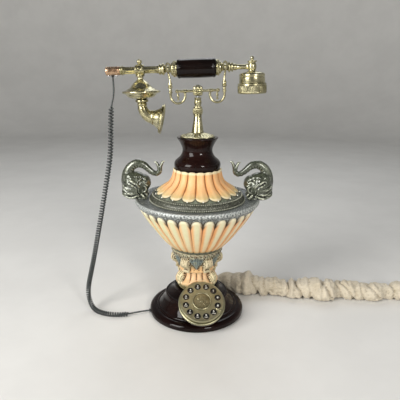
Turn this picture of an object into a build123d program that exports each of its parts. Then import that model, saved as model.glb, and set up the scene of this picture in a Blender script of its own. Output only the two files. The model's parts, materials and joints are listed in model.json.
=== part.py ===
from build123d import *
import math
import os

# Ornamental push-button desk telephone shaped like a footed two-handled urn.
# Millimetres, +Z up, origin at the centre of the foot pad on the table.
# The dial faces -Y, the mouthpiece is on the -X side.

os.makedirs("parts", exist_ok=True)

# ---------------------------------------------------------------- dimensions
# base
PAD_R, PAD_T = 75.0, 2.0
BASE_R, BASE_BOT = 78.0, 2.0
PLATE_R, PLATE_T = 73.6, 2.0
SHELL_TOP_Z = 46.0
SCREW_PCR = 62.0
SCREW_COUNT = 4
# dial group, in its own tilted frame
DIAL_C = (8.75, -62.0, 47.0)
DIAL_YAW = 2.3
DIAL_ELEV = 56.0
DRUM_R, DRUM_T = 36.3, 12.0
COLLAR_R, COLLAR_BOT = 34.0, -5.4
FACE_R, FACE_T = 32.6, 2.5
KEY_PCR, KEY_COUNT, KEY_START = 25.3, 12, 13.3
KEY_R, KEY_CLEAR, KEY_TRAVEL = 4.85, 0.15, 1.2
MEDAL_R = 14.7
POD_R = 28.0
# column and urn
ROD_R = 3.0
STEM_BOT, STEM_TOP = 46.0, 78.0
CAP_TOP = 112.0
BOWL_TOP = 186.0
RIM_TOP = 196.5
COVER_TOP = 241.0
NECK_TOP = 291.0
DISC_T = 3.5
CRADLE_STEM_TOP = 349.5
# cradle and handset, in a frame tipped about Y (left end lower)
PIVOT_Z = 359.3
TILT_DEG = -2.3
HAND_Z = 31.8
PLUNGER_R, PLUNGER_BORE = 2.4, 2.45
HOOK_WIRE_R = 1.75
HOOK_U_R = 10.8
FORK_WIRE_R, FORK_GAP_R = 1.4, 6.2
NECK_R = 4.2
GRIP_R = 13.75
BELL_X = -83.9
RECV_X = 80.0
# cords
WIRE_D = 2.6
CURL_D = 8.5
LINE_D = 5.0
COVER_D, COVER_BORE = 31.0, 25.0
COIL_C = (436.0, 20.0)
COIL_OUT, COIL_IN, COIL_H = 35.5, 20.0, 15.0

TILT = Location((0, 0, PIVOT_Z)) * Rotation(0, TILT_DEG, 0)

yaw, elev = math.radians(DIAL_YAW), math.radians(DIAL_ELEV)
dial_n = Vector(math.sin(yaw) * math.cos(elev), -math.cos(yaw) * math.cos(elev), math.sin(elev))
dial_plane = Plane(origin=DIAL_C, x_dir=(math.cos(yaw), math.sin(yaw), 0), z_dir=dial_n)


def save(piece, name):
    piece.part.label = name
    export_step(piece.part, "parts/" + name + ".step")


# ---------------------------------------------------------------- base
with BuildPart() as foot_pad:
    with BuildSketch():
        Circle(PAD_R)
    extrude(amount=PAD_T)
save(foot_pad, "foot_pad")

with BuildPart() as base_plate:
    with BuildSketch(Plane.XY.offset(PAD_T)):
        Circle(PLATE_R)
    extrude(amount=PLATE_T)
    # recessed holes for the four shell screws
    with BuildSketch(Plane.XY.offset(PAD_T)):
        with PolarLocations(SCREW_PCR, SCREW_COUNT, start_angle=45):
            Circle(1.8)
    extrude(amount=PLATE_T, mode=Mode.SUBTRACT)
    with BuildSketch(Plane.XY.offset(PAD_T)):
        with PolarLocations(SCREW_PCR, SCREW_COUNT, start_angle=45):
            Circle(3.3)
    extrude(amount=1.2, mode=Mode.SUBTRACT)
save(base_plate, "base_plate")

with BuildPart() as base_shell:
    # outer turned profile
    with BuildSketch(Plane.XZ):
        with BuildLine():
            Polyline((0, BASE_BOT), (BASE_R, BASE_BOT), (BASE_R, 6.0))
            Spline((BASE_R, 6.0), (76.6, 9.6), (71.0, 12.0), tangents=[(0, 1), (-1, 0.15)])
            Polyline((71.0, 12.0), (66.5, 12.4))
            ThreePointArc((66.5, 12.4), (64.6, 14.4), (62.5, 15.0))
            Spline((62.5, 15.0), (58.0, 21.0), (51.5, 31.0), tangents=[(-0.5, 0.5), (-0.4, 1)])
            ThreePointArc((51.5, 31.0), (51.3, 34.2), (48.5, 34.8))
            Spline((48.5, 34.8), (41.0, 39.0), (36.0, SHELL_TOP_Z), tangents=[(-1, 0.1), (-0.3, 1)])
            Polyline((36.0, SHELL_TOP_Z), (0, SHELL_TOP_Z), (0, BASE_BOT))
        make_face()
    revolve(axis=Axis.Z)
    # pod that carries the dial drum
    with BuildSketch(dial_plane.offset(-DRUM_T)):
        Circle(POD_R)
    extrude(amount=-22)
    with BuildSketch(Plane.XY.offset(BASE_BOT)):
        Rectangle(200, 200)
    extrude(amount=-20, mode=Mode.SUBTRACT)
    # hollow interior
    with BuildSketch(Plane.XZ):
        with BuildLine():
            Polyline((0, BASE_BOT), (73.8, BASE_BOT), (73.8, 7.0), (62.0, 10.4), (55.0, 18.5), (48.5, 29.0), (45.5, 31.8), (38.5, 35.8), (33.0, 42.5), (0, 42.5), (0, BASE_BOT))
        make_face()
    revolve(axis=Axis.Z, mode=Mode.SUBTRACT)
    with BuildSketch(dial_plane.offset(-DRUM_T - 2.5)):
        Circle(POD_R - 3)
    extrude(amount=-18, mode=Mode.SUBTRACT)
    # screw bosses
    with BuildSketch(Plane.XY.offset(PAD_T + PLATE_T)):
        with PolarLocations(SCREW_PCR, SCREW_COUNT, start_angle=45):
            Circle(4.0)
    extrude(amount=8.5)
    with BuildSketch(Plane.XY.offset(PAD_T + PLATE_T)):
        with PolarLocations(SCREW_PCR, SCREW_COUNT, start_angle=45):
            Circle(1.5)
    extrude(amount=7.0, mode=Mode.SUBTRACT)
    # tie rod hole in the top
    with BuildSketch(Plane.XY.offset(SHELL_TOP_Z)):
        Circle(ROD_R + 0.3)
    extrude(amount=-8, mode=Mode.SUBTRACT)
    # cord outlets, rear for the line and left for the handset
    with BuildSketch(Plane(origin=(0, 0, 5.6), x_dir=(-1, 0, 0), z_dir=(0, 1, 0))):
        Circle(3.5)
    extrude(amount=90, mode=Mode.SUBTRACT)
    with BuildSketch(Plane(origin=(0, 0, 5.4), x_dir=(0.235, -0.972, 0), z_dir=(-0.972, -0.235, 0))):
        Circle(2.6)
    extrude(amount=90, mode=Mode.SUBTRACT)
save(base_shell, "base_shell")

with BuildPart() as base_screws:
    with BuildSketch(Plane.XY.offset(PAD_T + 0.05)):
        with PolarLocations(SCREW_PCR, SCREW_COUNT, start_angle=45):
            Circle(3.1)
    extrude(amount=1.1)
    with BuildSketch(Plane.XY.offset(PAD_T + 0.05)):
        with PolarLocations(SCREW_PCR, SCREW_COUNT, start_angle=45):
            Circle(1.45)
    extrude(amount=8.4)
save(base_screws, "base_screws")

with BuildPart() as circuit_board:
    with Locations((0, 14, 12.8)):
        Box(74, 52, 1.6)
    # stand-offs down to the base plate
    with BuildSketch(Plane.XY.offset(PAD_T + PLATE_T)):
        with Locations((0, 14)):
            with GridLocations(64, 42, 2, 2):
                Circle(2.5)
    extrude(amount=8)
    # ringer disc, coil, capacitors and line jack
    with Locations((-20, 18, 17.1)):
        Cylinder(11, 7)
    with Locations((14, 24, 17.6)):
        Box(14, 12, 8)
    with Locations((4, 4, 16.6)):
        Cylinder(3.2, 6)
    with Locations((14, 4, 16.1)):
        Cylinder(2.6, 5)
    with Locations((27, 8, 15.1)):
        Box(9, 16, 3)
save(circuit_board, "circuit_board")

with BuildPart() as cord_grommets:
    # line bush, then handset bush; each has a thin outer lip
    with BuildSketch(Plane(origin=(0, 0, 5.6), x_dir=(-1, 0, 0), z_dir=(0, 1, 0)).offset(73.9)):
        Circle(3.45)
        Circle(LINE_D / 2 + 0.02, mode=Mode.SUBTRACT)
    extrude(amount=6.6)
    with BuildSketch(Plane(origin=(0, 0, 5.4), x_dir=(0.235, -0.972, 0), z_dir=(-0.972, -0.235, 0)).offset(73.9)):
        Circle(2.55)
        Circle(WIRE_D / 2 + 0.02, mode=Mode.SUBTRACT)
    extrude(amount=6.1)
save(cord_grommets, "cord_grommets")

# ---------------------------------------------------------------- dial
with BuildPart() as dial_housing:
    with BuildSketch(dial_plane.offset(-DRUM_T)):
        Circle(DRUM_R)
    extrude(amount=DRUM_T + COLLAR_BOT)
    fillet(dial_housing.part.edges().filter_by(GeomType.CIRCLE).sort_by(Axis(origin=DIAL_C, direction=dial_n))[-1], 0.9)
    with BuildSketch(dial_plane.offset(COLLAR_BOT)):
        Circle(COLLAR_R)
    extrude(amount=0.5 - COLLAR_BOT)
    fillet(dial_housing.part.edges().filter_by(GeomType.CIRCLE).sort_by(Axis(origin=DIAL_C, direction=dial_n))[-1], 0.5)
    with BuildSketch(dial_plane.offset(-FACE_T)):
        Circle(FACE_R + 0.05)
    extrude(amount=6, mode=Mode.SUBTRACT)
    with BuildSketch(dial_plane.offset(-DRUM_T + 2.05)):
        Circle(31.6)
    extrude(amount=DRUM_T, mode=Mode.SUBTRACT)
    # wire hole to the pod
    with BuildSketch(dial_plane.offset(-DRUM_T)):
        Circle(4)
    extrude(amount=3, mode=Mode.SUBTRACT)
save(dial_housing, "dial_housing")

with BuildPart() as dial_face:
    with BuildSketch(dial_plane.offset(-FACE_T)):
        Circle(FACE_R)
        with PolarLocations(KEY_PCR, KEY_COUNT, start_angle=KEY_START):
            Circle(KEY_R + KEY_CLEAR, mode=Mode.SUBTRACT)
    extrude(amount=FACE_T)
save(dial_face, "dial_face")

with BuildPart() as dial_medallion:
    with BuildSketch(dial_plane):
        Circle(MEDAL_R)
    extrude(amount=1.0)
    with BuildSketch(dial_plane.offset(1.0)):
        Circle(MEDAL_R)
        Circle(MEDAL_R - 1.8, mode=Mode.SUBTRACT)
    extrude(amount=0.9)
save(dial_medallion, "dial_medallion")

with BuildPart() as finger_stop:
    stop_plane = Plane(origin=DIAL_C, x_dir=dial_plane.x_dir, z_dir=dial_n).rotated((0, 0, -32.7))
    with BuildSketch(stop_plane.offset(0.0)):
        with Locations((27.6, 0)):
            SlotOverall(9.6, 1.9)
    extrude(amount=1.7)
save(finger_stop, "finger_stop")

with BuildPart() as key_board:
    with BuildSketch(dial_plane.offset(-9.9)):
        Circle(31.2)
    extrude(amount=1.6)
    with BuildSketch(dial_plane.offset(-8.3)):
        with PolarLocations(KEY_PCR, KEY_COUNT, start_angle=KEY_START):
            Circle(2.6)
    extrude(amount=0.22)
save(key_board, "key_board")

KEY_NAMES = ["key_star", "key_1", "key_2", "key_3", "key_4", "key_5", "key_6", "key_7", "key_8", "key_9", "key_0", "key_hash"]
for index, key_name in enumerate(KEY_NAMES):
    turn = math.radians(KEY_START + 30 * index)
    kx, ky = KEY_PCR * math.cos(turn), KEY_PCR * math.sin(turn)
    with BuildPart() as key:
        with BuildSketch(dial_plane.offset(-4.0)):
            with Locations((kx, ky)):
                Circle(KEY_R)
        extrude(amount=4.3)
        fillet(key.part.edges().filter_by(GeomType.CIRCLE).sort_by(Axis(origin=DIAL_C, direction=dial_n))[-1], 0.8)
        # retaining flange under the face plate and the switch stem
        with BuildSketch(dial_plane.offset(-4.0)):
            with Locations((kx, ky)):
                Circle(5.8)
        extrude(amount=1.45)
        with BuildSketch(dial_plane.offset(-6.75)):
            with Locations((kx, ky)):
                Circle(2.0)
        extrude(amount=2.75)
    save(key, key_name)

# ---------------------------------------------------------------- column
with BuildPart() as tie_rod:
    with BuildSketch(Plane.XY.offset(34)):
        Circle(ROD_R)
    extrude(amount=93)
    with BuildSketch(Plane.XY.offset(36.5)):
        RegularPolygon(5.8, 6)
    extrude(amount=5)
    with BuildSketch(Plane.XY.offset(41.5)):
        Circle(8)
    extrude(amount=1.0)
    with BuildSketch(Plane.XY.offset(117.2)):
        Circle(8)
    extrude(amount=1.2)
    with BuildSketch(Plane.XY.offset(118.4)):
        RegularPolygon(5.8, 6)
    extrude(amount=5)
save(tie_rod, "tie_rod")

with BuildPart() as pedestal_stem:
    with BuildSketch(Plane.XZ):
        with BuildLine():
            Polyline((3.6, STEM_BOT), (30.0, STEM_BOT), (31.0, 50.0), (34.6, 56.5))
            ThreePointArc((34.6, 56.5), (35.2, 59.5), (33.4, 62.0))
            Polyline((33.4, 62.0), (29.6, 66.0), (27.0, 70.0), (26.6, 74.5), (27.4, STEM_TOP), (3.6, STEM_TOP), (3.6, STEM_BOT))
        make_face()
    revolve(axis=Axis.Z)
    # seat for the dial drum and its pod
    with BuildSketch(dial_plane.offset(-DRUM_T - 0.15)):
        Circle(DRUM_R + 0.4)
    extrude(amount=60, mode=Mode.SUBTRACT)
    with BuildSketch(dial_plane.offset(-DRUM_T + 0.1)):
        Circle(POD_R + 0.15)
    extrude(amount=-40, mode=Mode.SUBTRACT)
save(pedestal_stem, "pedestal_stem")

with BuildPart() as pedestal_capital:
    with BuildSketch(Plane.XZ):
        with BuildLine():
            Polyline((3.6, STEM_TOP), (27.5, STEM_TOP), (29.5, 82.0), (28.5, 86.0), (31.5, 90.0), (35.0, 98.5), (37.0, 103.5), (38.6, 107.5), (37.5, CAP_TOP), (3.6, CAP_TOP), (3.6, STEM_TOP))
        make_face()
    revolve(axis=Axis.Z)
    # six scroll volutes, axis tangential
    for corner in (0, 60, 120, 180, 240, 300):
        corner_plane = Plane(origin=(0, 0, 0), x_dir=(math.cos(math.radians(corner)), math.sin(math.radians(corner)), 0), z_dir=(math.sin(math.radians(corner)), -math.cos(math.radians(corner)), 0))
        with BuildSketch(corner_plane):
            with Locations((34.2, 96.0)):
                Circle(7.4)
        extrude(amount=6.8, both=True)
save(pedestal_capital, "pedestal_capital")

BOWL_OUT = [(37.5, CAP_TOP), (46.8, 122.0), (57.9, 133.9), (67.0, 146.2), (75.0, 156.9), (82.4, 168.2), (89.4, 180.0), (92.0, BOWL_TOP)]
with BuildPart() as bowl:
    with BuildSketch(Plane.XZ):
        with BuildLine():
            Line((3.6, CAP_TOP), (37.5, CAP_TOP))
            Spline(*BOWL_OUT, tangents=[(0.75, 0.75), (0.15, 1)])
            Polyline((92.0, BOWL_TOP), (87.4, BOWL_TOP))
            Spline((87.4, BOWL_TOP), (85.2, 179.0), (78.0, 168.6), (63.0, 147.0), (53.6, 135.2), (42.6, 123.6), (36.0, 117.2), tangents=[(-0.15, -1), (-0.7, -0.7)])
            Polyline((36.0, 117.2), (3.6, 117.2), (3.6, CAP_TOP))
        make_face()
    revolve(axis=Axis.Z)
save(bowl, "bowl")

with BuildPart() as bowl_rim:
    with BuildSketch(Plane.XZ):
        with BuildLine():
            Polyline((82.0, 181.0), (84.4, 181.0), (86.0, BOWL_TOP), (92.4, BOWL_TOP), (96.2, 190.2))
            ThreePointArc((96.2, 190.2), (98.0, 193.6), (95.6, RIM_TOP))
            Polyline((95.6, RIM_TOP), (91.5, 195.2), (76.4, 193.4))
            ThreePointArc((76.4, 193.4), (75.6, 197.6), (72.4, 200.4))
            Polyline((72.4, 200.4), (72.2, 193.4), (69.0, 193.4), (69.0, 189.4), (82.0, 190.0), (82.0, 181.0))
        make_face()
    revolve(axis=Axis.Z)
save(bowl_rim, "bowl_rim")

with BuildPart() as petal_cover:
    with BuildSketch(Plane.XZ):
        with BuildLine():
            Line((68.0, 193.4), (71.8, 193.4))
            Spline((71.8, 193.4), (69.6, 201.5), (60.0, 210.0), (48.5, 217.6), (42.3, 224.0), (38.4, 232.5), (37.0, COVER_TOP), tangents=[(0.1, 1), (0.0, 1)])
            Polyline((37.0, COVER_TOP), (9.0, COVER_TOP), (9.0, 238.0), (34.0, 238.0))
            Spline((34.0, 238.0), (35.6, 231.2), (39.8, 221.8), (46.6, 214.8), (58.0, 207.2), (66.6, 199.8), (68.0, 193.4), tangents=[(0.05, -1), (-0.1, -1)])
        make_face()
    revolve(axis=Axis.Z)
save(petal_cover, "petal_cover")

with BuildPart() as neck:
    with BuildSketch(Plane.XZ):
        with BuildLine():
            Line((29.5, COVER_TOP), (33.6, COVER_TOP))
            Spline((33.6, COVER_TOP), (35.6, 246.5), (35.0, 253.5), (28.6, 260.0), (23.5, 268.0), (24.2, 277.0), (29.0, 286.0), (31.2, 289.4), tangents=[(0.6, 1), (0.5, 0.8)])
            ThreePointArc((31.2, 289.4), (31.5, 290.6), (30.4, NECK_TOP))
            Polyline((30.4, NECK_TOP), (20.5, NECK_TOP), (20.5, 287.5))
            Polyline((20.5, 287.5), (19.6, 277.0), (19.5, 268.0), (24.6, 259.0), (30.0, 252.5), (29.5, COVER_TOP))
        make_face()
    revolve(axis=Axis.Z)
save(neck, "neck")

with BuildPart() as neck_disc:
    with BuildSketch(Plane.XZ):
        with BuildLine():
            Polyline((5.5, NECK_TOP), (25.2, NECK_TOP), (26.0, NECK_TOP + 1.0), (24.6, NECK_TOP + 2.2), (14.0, NECK_TOP + DISC_T), (5.5, NECK_TOP + DISC_T), (5.5, NECK_TOP))
        make_face()
    revolve(axis=Axis.Z)
save(neck_disc, "neck_disc")

with BuildPart() as cradle_stem:
    z0 = NECK_TOP + DISC_T
    with BuildSketch(Plane.XZ):
        with BuildLine():
            Polyline((PLUNGER_BORE, z0), (10.3, z0), (10.3, z0 + 1.5), (9.0, z0 + 4.0), (6.3, 316.0), (5.6, 323.6), (6.6, 324.2), (7.0, 326.5), (7.0, 333.0), (6.2, 334.4), (6.2, 336.4), (4.0, 337.4), (3.8, 339.0))
            ThreePointArc((3.8, 339.0), (5.4, 342.4), (3.9, 345.6))
            Polyline((3.9, 345.6), (3.7, 347.6), (5.0, 348.2), (5.0, CRADLE_STEM_TOP), (PLUNGER_BORE, CRADLE_STEM_TOP), (PLUNGER_BORE, z0))
        make_face()
    revolve(axis=Axis.Z)
save(cradle_stem, "cradle_stem")

with BuildPart() as hook_microswitch:
    # bracket foot, two posts and the spring seat
    with BuildSketch(Plane.XY.offset(COVER_TOP)):
        Circle(16)
    extrude(amount=2)
    with BuildSketch(Plane.XY.offset(COVER_TOP + 2)):
        with GridLocations(24, 0, 2, 1):
            Rectangle(3, 10)
    extrude(amount=28)
    with BuildSketch(Plane.XY.offset(COVER_TOP + 30)):
        Circle(14)
        Circle(2.6, mode=Mode.SUBTRACT)
    extrude(amount=2)
    # switch body and its button
    with Locations((0, 0, COVER_TOP + 9.5)):
        Box(20, 8, 15)
    with BuildSketch(Plane.XY.offset(COVER_TOP + 17)):
        Circle(1.6)
    extrude(amount=3.5)
save(hook_microswitch, "hook_microswitch")

with BuildPart() as hook_plunger:
    with BuildSketch(Plane.XY.offset(262.0)):
        Circle(PLUNGER_R)
    extrude(amount=92.0)
    with BuildSketch(Plane.XY.offset(283.0)):
        Circle(4.8)
    extrude(amount=2.5)
save(hook_plunger, "hook_plunger")

with BuildPart() as plunger_spring:
    with BuildLine():
        spring_line = Helix(pitch=1.9, height=9.0, radius=3.6, center=(0, 0, 273.5))
    with BuildSketch(Plane(origin=spring_line @ 0, z_dir=spring_line % 0)):
        Circle(0.4)
    sweep()
save(plunger_spring, "plunger_spring")

# ---------------------------------------------------------------- handles
# each handle is a curled dolphin: a broad head on the rim, the body arched
# over it and a forked tail standing towards the neck
ARCH = [(-110.0, 212.0), (-112.0, 228.0), (-108.6, 241.5), (-98.5, 250.8), (-86.5, 250.6), (-76.0, 242.6), (-66.5, 233.5), (-58.6, 230.8), (-56.6, 242.5)]
ARCH_RADII = [17, 15, 13, 14, 15, 40, 12, 6.5]
with BuildPart() as handle_left:
    with BuildSketch(Plane.XZ):
        with Locations((-97.0, 214.0)):
            Ellipse(19.5, 21.0)
        with Locations((-67.0, 214.0)):
            Rectangle(60.0, 60.0, mode=Mode.INTERSECT)
    revolve(axis=Axis((-97.0, 0, 214.0), (0, 0, 1)))
    # root scroll that sits on the rim
    with Locations((-84.5, 0, 203.6)):
        Box(15.0, 16.0, 19.0)
    # seat the underside on the turned rim
    with BuildSketch(Plane.XZ):
        with BuildLine():
            Polyline((0, 180.0), (0, 198.2), (79.0, 198.2), (79.0, 193.8), (91.5, 195.4), (95.8, 196.7))
            ThreePointArc((95.8, 196.7), (98.2, 193.6), (96.4, 190.0))
            Polyline((96.4, 190.0), (92.6, 185.8), (92.6, 180.0), (0, 180.0))
        make_face()
    revolve(axis=Axis.Z, mode=Mode.SUBTRACT)
    # arched body
    with BuildLine():
        arch_path = FilletPolyline(*[(x, 0, z) for x, z in ARCH], radius=[r * 0.55 for r in ARCH_RADII[:7]])
    with BuildSketch(Plane(origin=arch_path @ 0, z_dir=arch_path % 0)):
        Circle(5.4)
    sweep()
    # forked tail
    with BuildSketch(Plane.XZ):
        with BuildLine():
            Polyline((-61.0, 238.0), (-65.2, 252.6), (-60.6, 253.4), (-57.2, 245.5), (-53.8, 253.4), (-49.8, 252.6), (-52.6, 238.0), (-61.0, 238.0))
        make_face()
    extrude(amount=2.2, both=True)
save(handle_left, "handle_left")

# the handle is the same front and back, so half a turn makes the other one
with BuildPart() as handle_right:
    add(handle_left.part.rotate(Axis.Z, 180))
save(handle_right, "handle_right")

# ---------------------------------------------------------------- cradle
with BuildPart() as cradle_block:
    Box(13.4, 13.4, 13.4)
    chamfer(cradle_block.part.edges(), 0.8)
    with Locations(Plane.YZ):
        Cylinder(2.05, 20, mode=Mode.SUBTRACT)
    # rosettes on the front and back faces
    with BuildSketch(Plane.XZ.offset(6.7)):
        Circle(4.4)
    extrude(amount=0.9)
    with BuildSketch(Plane.XZ.offset(-6.7)):
        Circle(4.4)
    extrude(amount=-0.9)
cradle_block.part.move(TILT)
save(cradle_block, "cradle_block")

with BuildPart() as cradle_bar:
    with BuildSketch(Plane.XZ):
        with BuildLine():
            Polyline((-33.6, 0), (-33.2, 1.6), (-32.0, 2.8), (-30.2, 2.9), (-28.8, 1.9), (-22.4, 1.8), (-21.4, 2.7), (-17.0, 2.7), (-16.0, 2.0), (16.0, 2.0), (17.0, 2.7), (21.4, 2.7), (22.4, 1.8), (27.6, 1.9), (29.0, 2.9), (30.8, 2.8), (32.0, 1.6), (32.4, 0), (-33.6, 0))
        make_face()
    revolve(axis=Axis.X)
    # drop finials under both ends
    for drop_x in (-29.6, 28.4):
        with BuildSketch(Plane.XZ):
            with BuildLine():
                Polyline((drop_x, -1.0), (drop_x + 0.9, -1.0), (drop_x + 0.9, -3.4), (drop_x + 2.1, -6.2), (drop_x + 1.9, -8.0), (drop_x + 0.8, -9.4), (drop_x + 0.8, -10.2), (drop_x + 1.7, -11.4), (drop_x + 1.5, -13.0), (drop_x, -13.6), (drop_x, -1.0))
            make_face()
        revolve(axis=Axis((drop_x, 0, 0), (0, 0, 1)))
cradle_bar.part.move(TILT)
save(cradle_bar, "cradle_bar")

for side, hook_name, hook_x, fork_x in ((-1, "hook_left", -29.8, -42.6), (1, "hook_right", 28.4, 40.7)):
    u_z = -6.6
    outer_x = hook_x + side * HOOK_U_R
    inner_x = hook_x - side * HOOK_U_R
    with BuildPart() as hook:
        # the U of round rod hanging under the bar
        with BuildLine():
            u_path = Polyline((inner_x, 0, -2.72), (inner_x, 0, u_z))
            u_arc = ThreePointArc((inner_x, 0, u_z), (hook_x, 0, u_z - HOOK_U_R), (outer_x, 0, u_z))
            Line((outer_x, 0, u_z), (outer_x, 0, -2.0))
        with BuildSketch(Plane(origin=(inner_x, 0, -2.72), z_dir=(0, 0, -1))):
            Circle(HOOK_WIRE_R)
        sweep()
        # turned upright with ring, spindle, double bead and cone
        with BuildSketch(Plane.XZ):
            with BuildLine():
                Polyline((outer_x, -2.4), (outer_x + 3.0, -2.2), (outer_x + 3.0, -0.8), (outer_x + 2.0, -0.4), (outer_x + 2.6, 1.6), (outer_x + 1.8, 4.0), (outer_x + 3.4, 5.4), (outer_x + 3.6, 7.2), (outer_x + 2.2, 8.4), (outer_x + 3.2, 9.6), (outer_x + 2.9, 11.0), (outer_x + 1.7, 15.0), (outer_x + 1.4, 17.5), (outer_x, 17.5), (outer_x, -2.4))
            make_face()
        revolve(axis=Axis((outer_x, 0, 0), (0, 0, 1)))
        # rod leaning out to the fork
        with BuildLine():
            Line((outer_x, 0, 16.5), (fork_x, 0, HAND_Z - NECK_R - 0.15 - FORK_WIRE_R))
        with BuildSketch(Plane(origin=(outer_x, 0, 16.5), z_dir=(fork_x - outer_x, 0, HAND_Z - NECK_R - 0.15 - FORK_WIRE_R - 16.5))):
            Circle(1.5)
        sweep()
        # two-pronged fork under the handset neck
        fork_z = HAND_Z - NECK_R - 0.15 - FORK_WIRE_R + FORK_GAP_R
        with BuildLine():
            Line((fork_x, FORK_GAP_R, fork_z + 1.0), (fork_x, FORK_GAP_R, fork_z))
            ThreePointArc((fork_x, FORK_GAP_R, fork_z), (fork_x, 0, fork_z - FORK_GAP_R), (fork_x, -FORK_GAP_R, fork_z))
            Line((fork_x, -FORK_GAP_R, fork_z), (fork_x, -FORK_GAP_R, fork_z + 1.0))
        with BuildSketch(Plane(origin=(fork_x, FORK_GAP_R, fork_z + 1.0), z_dir=(0, 0, -1))):
            Circle(FORK_WIRE_R)
        sweep()
        # pear-shaped loop on each prong
        for prong in (-1, 1):
            with BuildSketch(Plane.XZ.offset(prong * (FORK_GAP_R - 1.0))):
                with Locations((fork_x, fork_z + 2.6)):
                    Ellipse(3.7, 6.2)
                    Ellipse(1.7, 3.6, mode=Mode.SUBTRACT)
            extrude(amount=prong * 2.0)
    hook.part.move(TILT)
    save(hook, hook_name)

# ---------------------------------------------------------------- handset
HAND_AXIS = Axis((0, 0, HAND_Z), (1, 0, 0))


def ring_profile(points):
    return [(x, HAND_Z + r) for x, r in points]


with BuildPart() as grip:
    with BuildSketch(Plane.XZ):
        with BuildLine():
            Polyline(*ring_profile([(-29.3, 4.6), (-29.3, 12.2), (-28.0, 13.4), (-26.4, GRIP_R), (-24.0, 13.2), (24.0 - 2.2, 13.2), (24.2, GRIP_R), (25.8, 13.4), (27.1, 12.2), (27.1, 4.6), (-29.3, 4.6)]))
        make_face()
    revolve(axis=HAND_AXIS)
grip.part.move(TILT)
save(grip, "grip")

with BuildPart() as ferrules:
    with BuildSketch(Plane.XZ):
        with BuildLine():
            Polyline(*ring_profile([(-38.9, 4.6), (-38.9, 7.0), (-37.6, 9.0), (-35.8, 9.6), (-35.4, 11.2), (-30.4, 11.4), (-29.3, 10.6), (-29.3, 4.6), (-38.9, 4.6)]))
        make_face()
        with BuildLine():
            Polyline(*ring_profile([(35.4, 4.6), (35.4, 7.0), (34.2, 9.0), (32.6, 9.6), (32.2, 11.2), (28.2, 11.4), (27.1, 10.6), (27.1, 4.6), (35.4, 4.6)]))
        make_face()
    revolve(axis=HAND_AXIS)
ferrules.part.move(TILT)
save(ferrules, "ferrules")

with BuildPart() as mouthpiece_arm:
    with BuildSketch(Plane.XZ):
        with BuildLine():
            Polyline(*ring_profile([(-0.2, 0), (-0.2, 4.5), (-38.9, 4.5), (-38.9, 4.9), (-39.6, 4.8), (-41.0, NECK_R), (-44.4, NECK_R), (-47.0, 5.0), (-48.4, 7.6), (-49.4, 8.6), (-51.0, 8.6), (-51.6, 6.8), (-53.2, 6.8), (-53.8, 7.8), (-55.4, 7.8), (-56.2, 5.6), (-58.0, 0), (-0.2, 0)]))
        make_face()
    revolve(axis=HAND_AXIS)
    # six-sided tube out to the end cap
    with BuildSketch(Plane(origin=(-56.0, 0, HAND_Z), x_dir=(0, 1, 0), z_dir=(-1, 0, 0))):
        RegularPolygon(5.7, 6)
    extrude(amount=53.0)
    with BuildSketch(Plane(origin=(-108.4, 0, HAND_Z), x_dir=(0, 1, 0), z_dir=(-1, 0, 0))):
        Circle(7.0)
    extrude(amount=1.8)
    with BuildSketch(Plane(origin=(-111.0, 0, HAND_Z), x_dir=(0, 1, 0), z_dir=(-1, 0, 0))):
        Circle(6.2)
    extrude(amount=1.7)
    with BuildSketch(Plane(origin=(-105.0, 0, HAND_Z), x_dir=(0, 1, 0), z_dir=(-1, 0, 0))):
        Circle(5.2)
    extrude(amount=7.0)
mouthpiece_arm.part.move(TILT)
save(mouthpiece_arm, "mouthpiece_arm")

with BuildPart() as end_cap:
    with BuildSketch(Plane.XZ):
        with BuildLine():
            Polyline(*ring_profile([(-112.7, 0), (-112.7, 5.8), (-113.4, 6.3), (-132.6, 6.3), (-134.0, 5.2), (-134.0, 0), (-112.7, 0)]))
        make_face()
    revolve(axis=HAND_AXIS)
    # cord outlet under the cap and a screw each side of it
    with BuildSketch(Plane.XY.offset(22.9)):
        with Locations((-124.2, 0)):
            Circle(2.3)
    extrude(amount=5)
    with BuildSketch(Plane.XY.offset(23.8)):
        with Locations((-129.6, 0), (-118.8, 0)):
            Circle(1.7)
    extrude(amount=4)
end_cap.part.move(TILT)
save(end_cap, "end_cap")

with BuildPart() as earpiece_arm:
    with BuildSketch(Plane.XZ):
        with BuildLine():
            Polyline(*ring_profile([(0.2, 0), (0.2, 4.5), (35.4, 4.5), (35.4, 6.0), (37.0, 4.9), (38.8, NECK_R), (42.6, NECK_R), (44.8, 4.9), (46.0, 7.4), (47.4, 7.4), (48.0, 5.4), (49.6, 5.2), (50.2, 6.6), (51.8, 6.6), (52.4, 4.6), (56.0, 4.2), (60.0, 3.65), (74.6, 3.65), (74.6, 0), (0.2, 0)]))
        make_face()
    revolve(axis=HAND_AXIS)
earpiece_arm.part.move(TILT)
save(earpiece_arm, "earpiece_arm")

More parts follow.
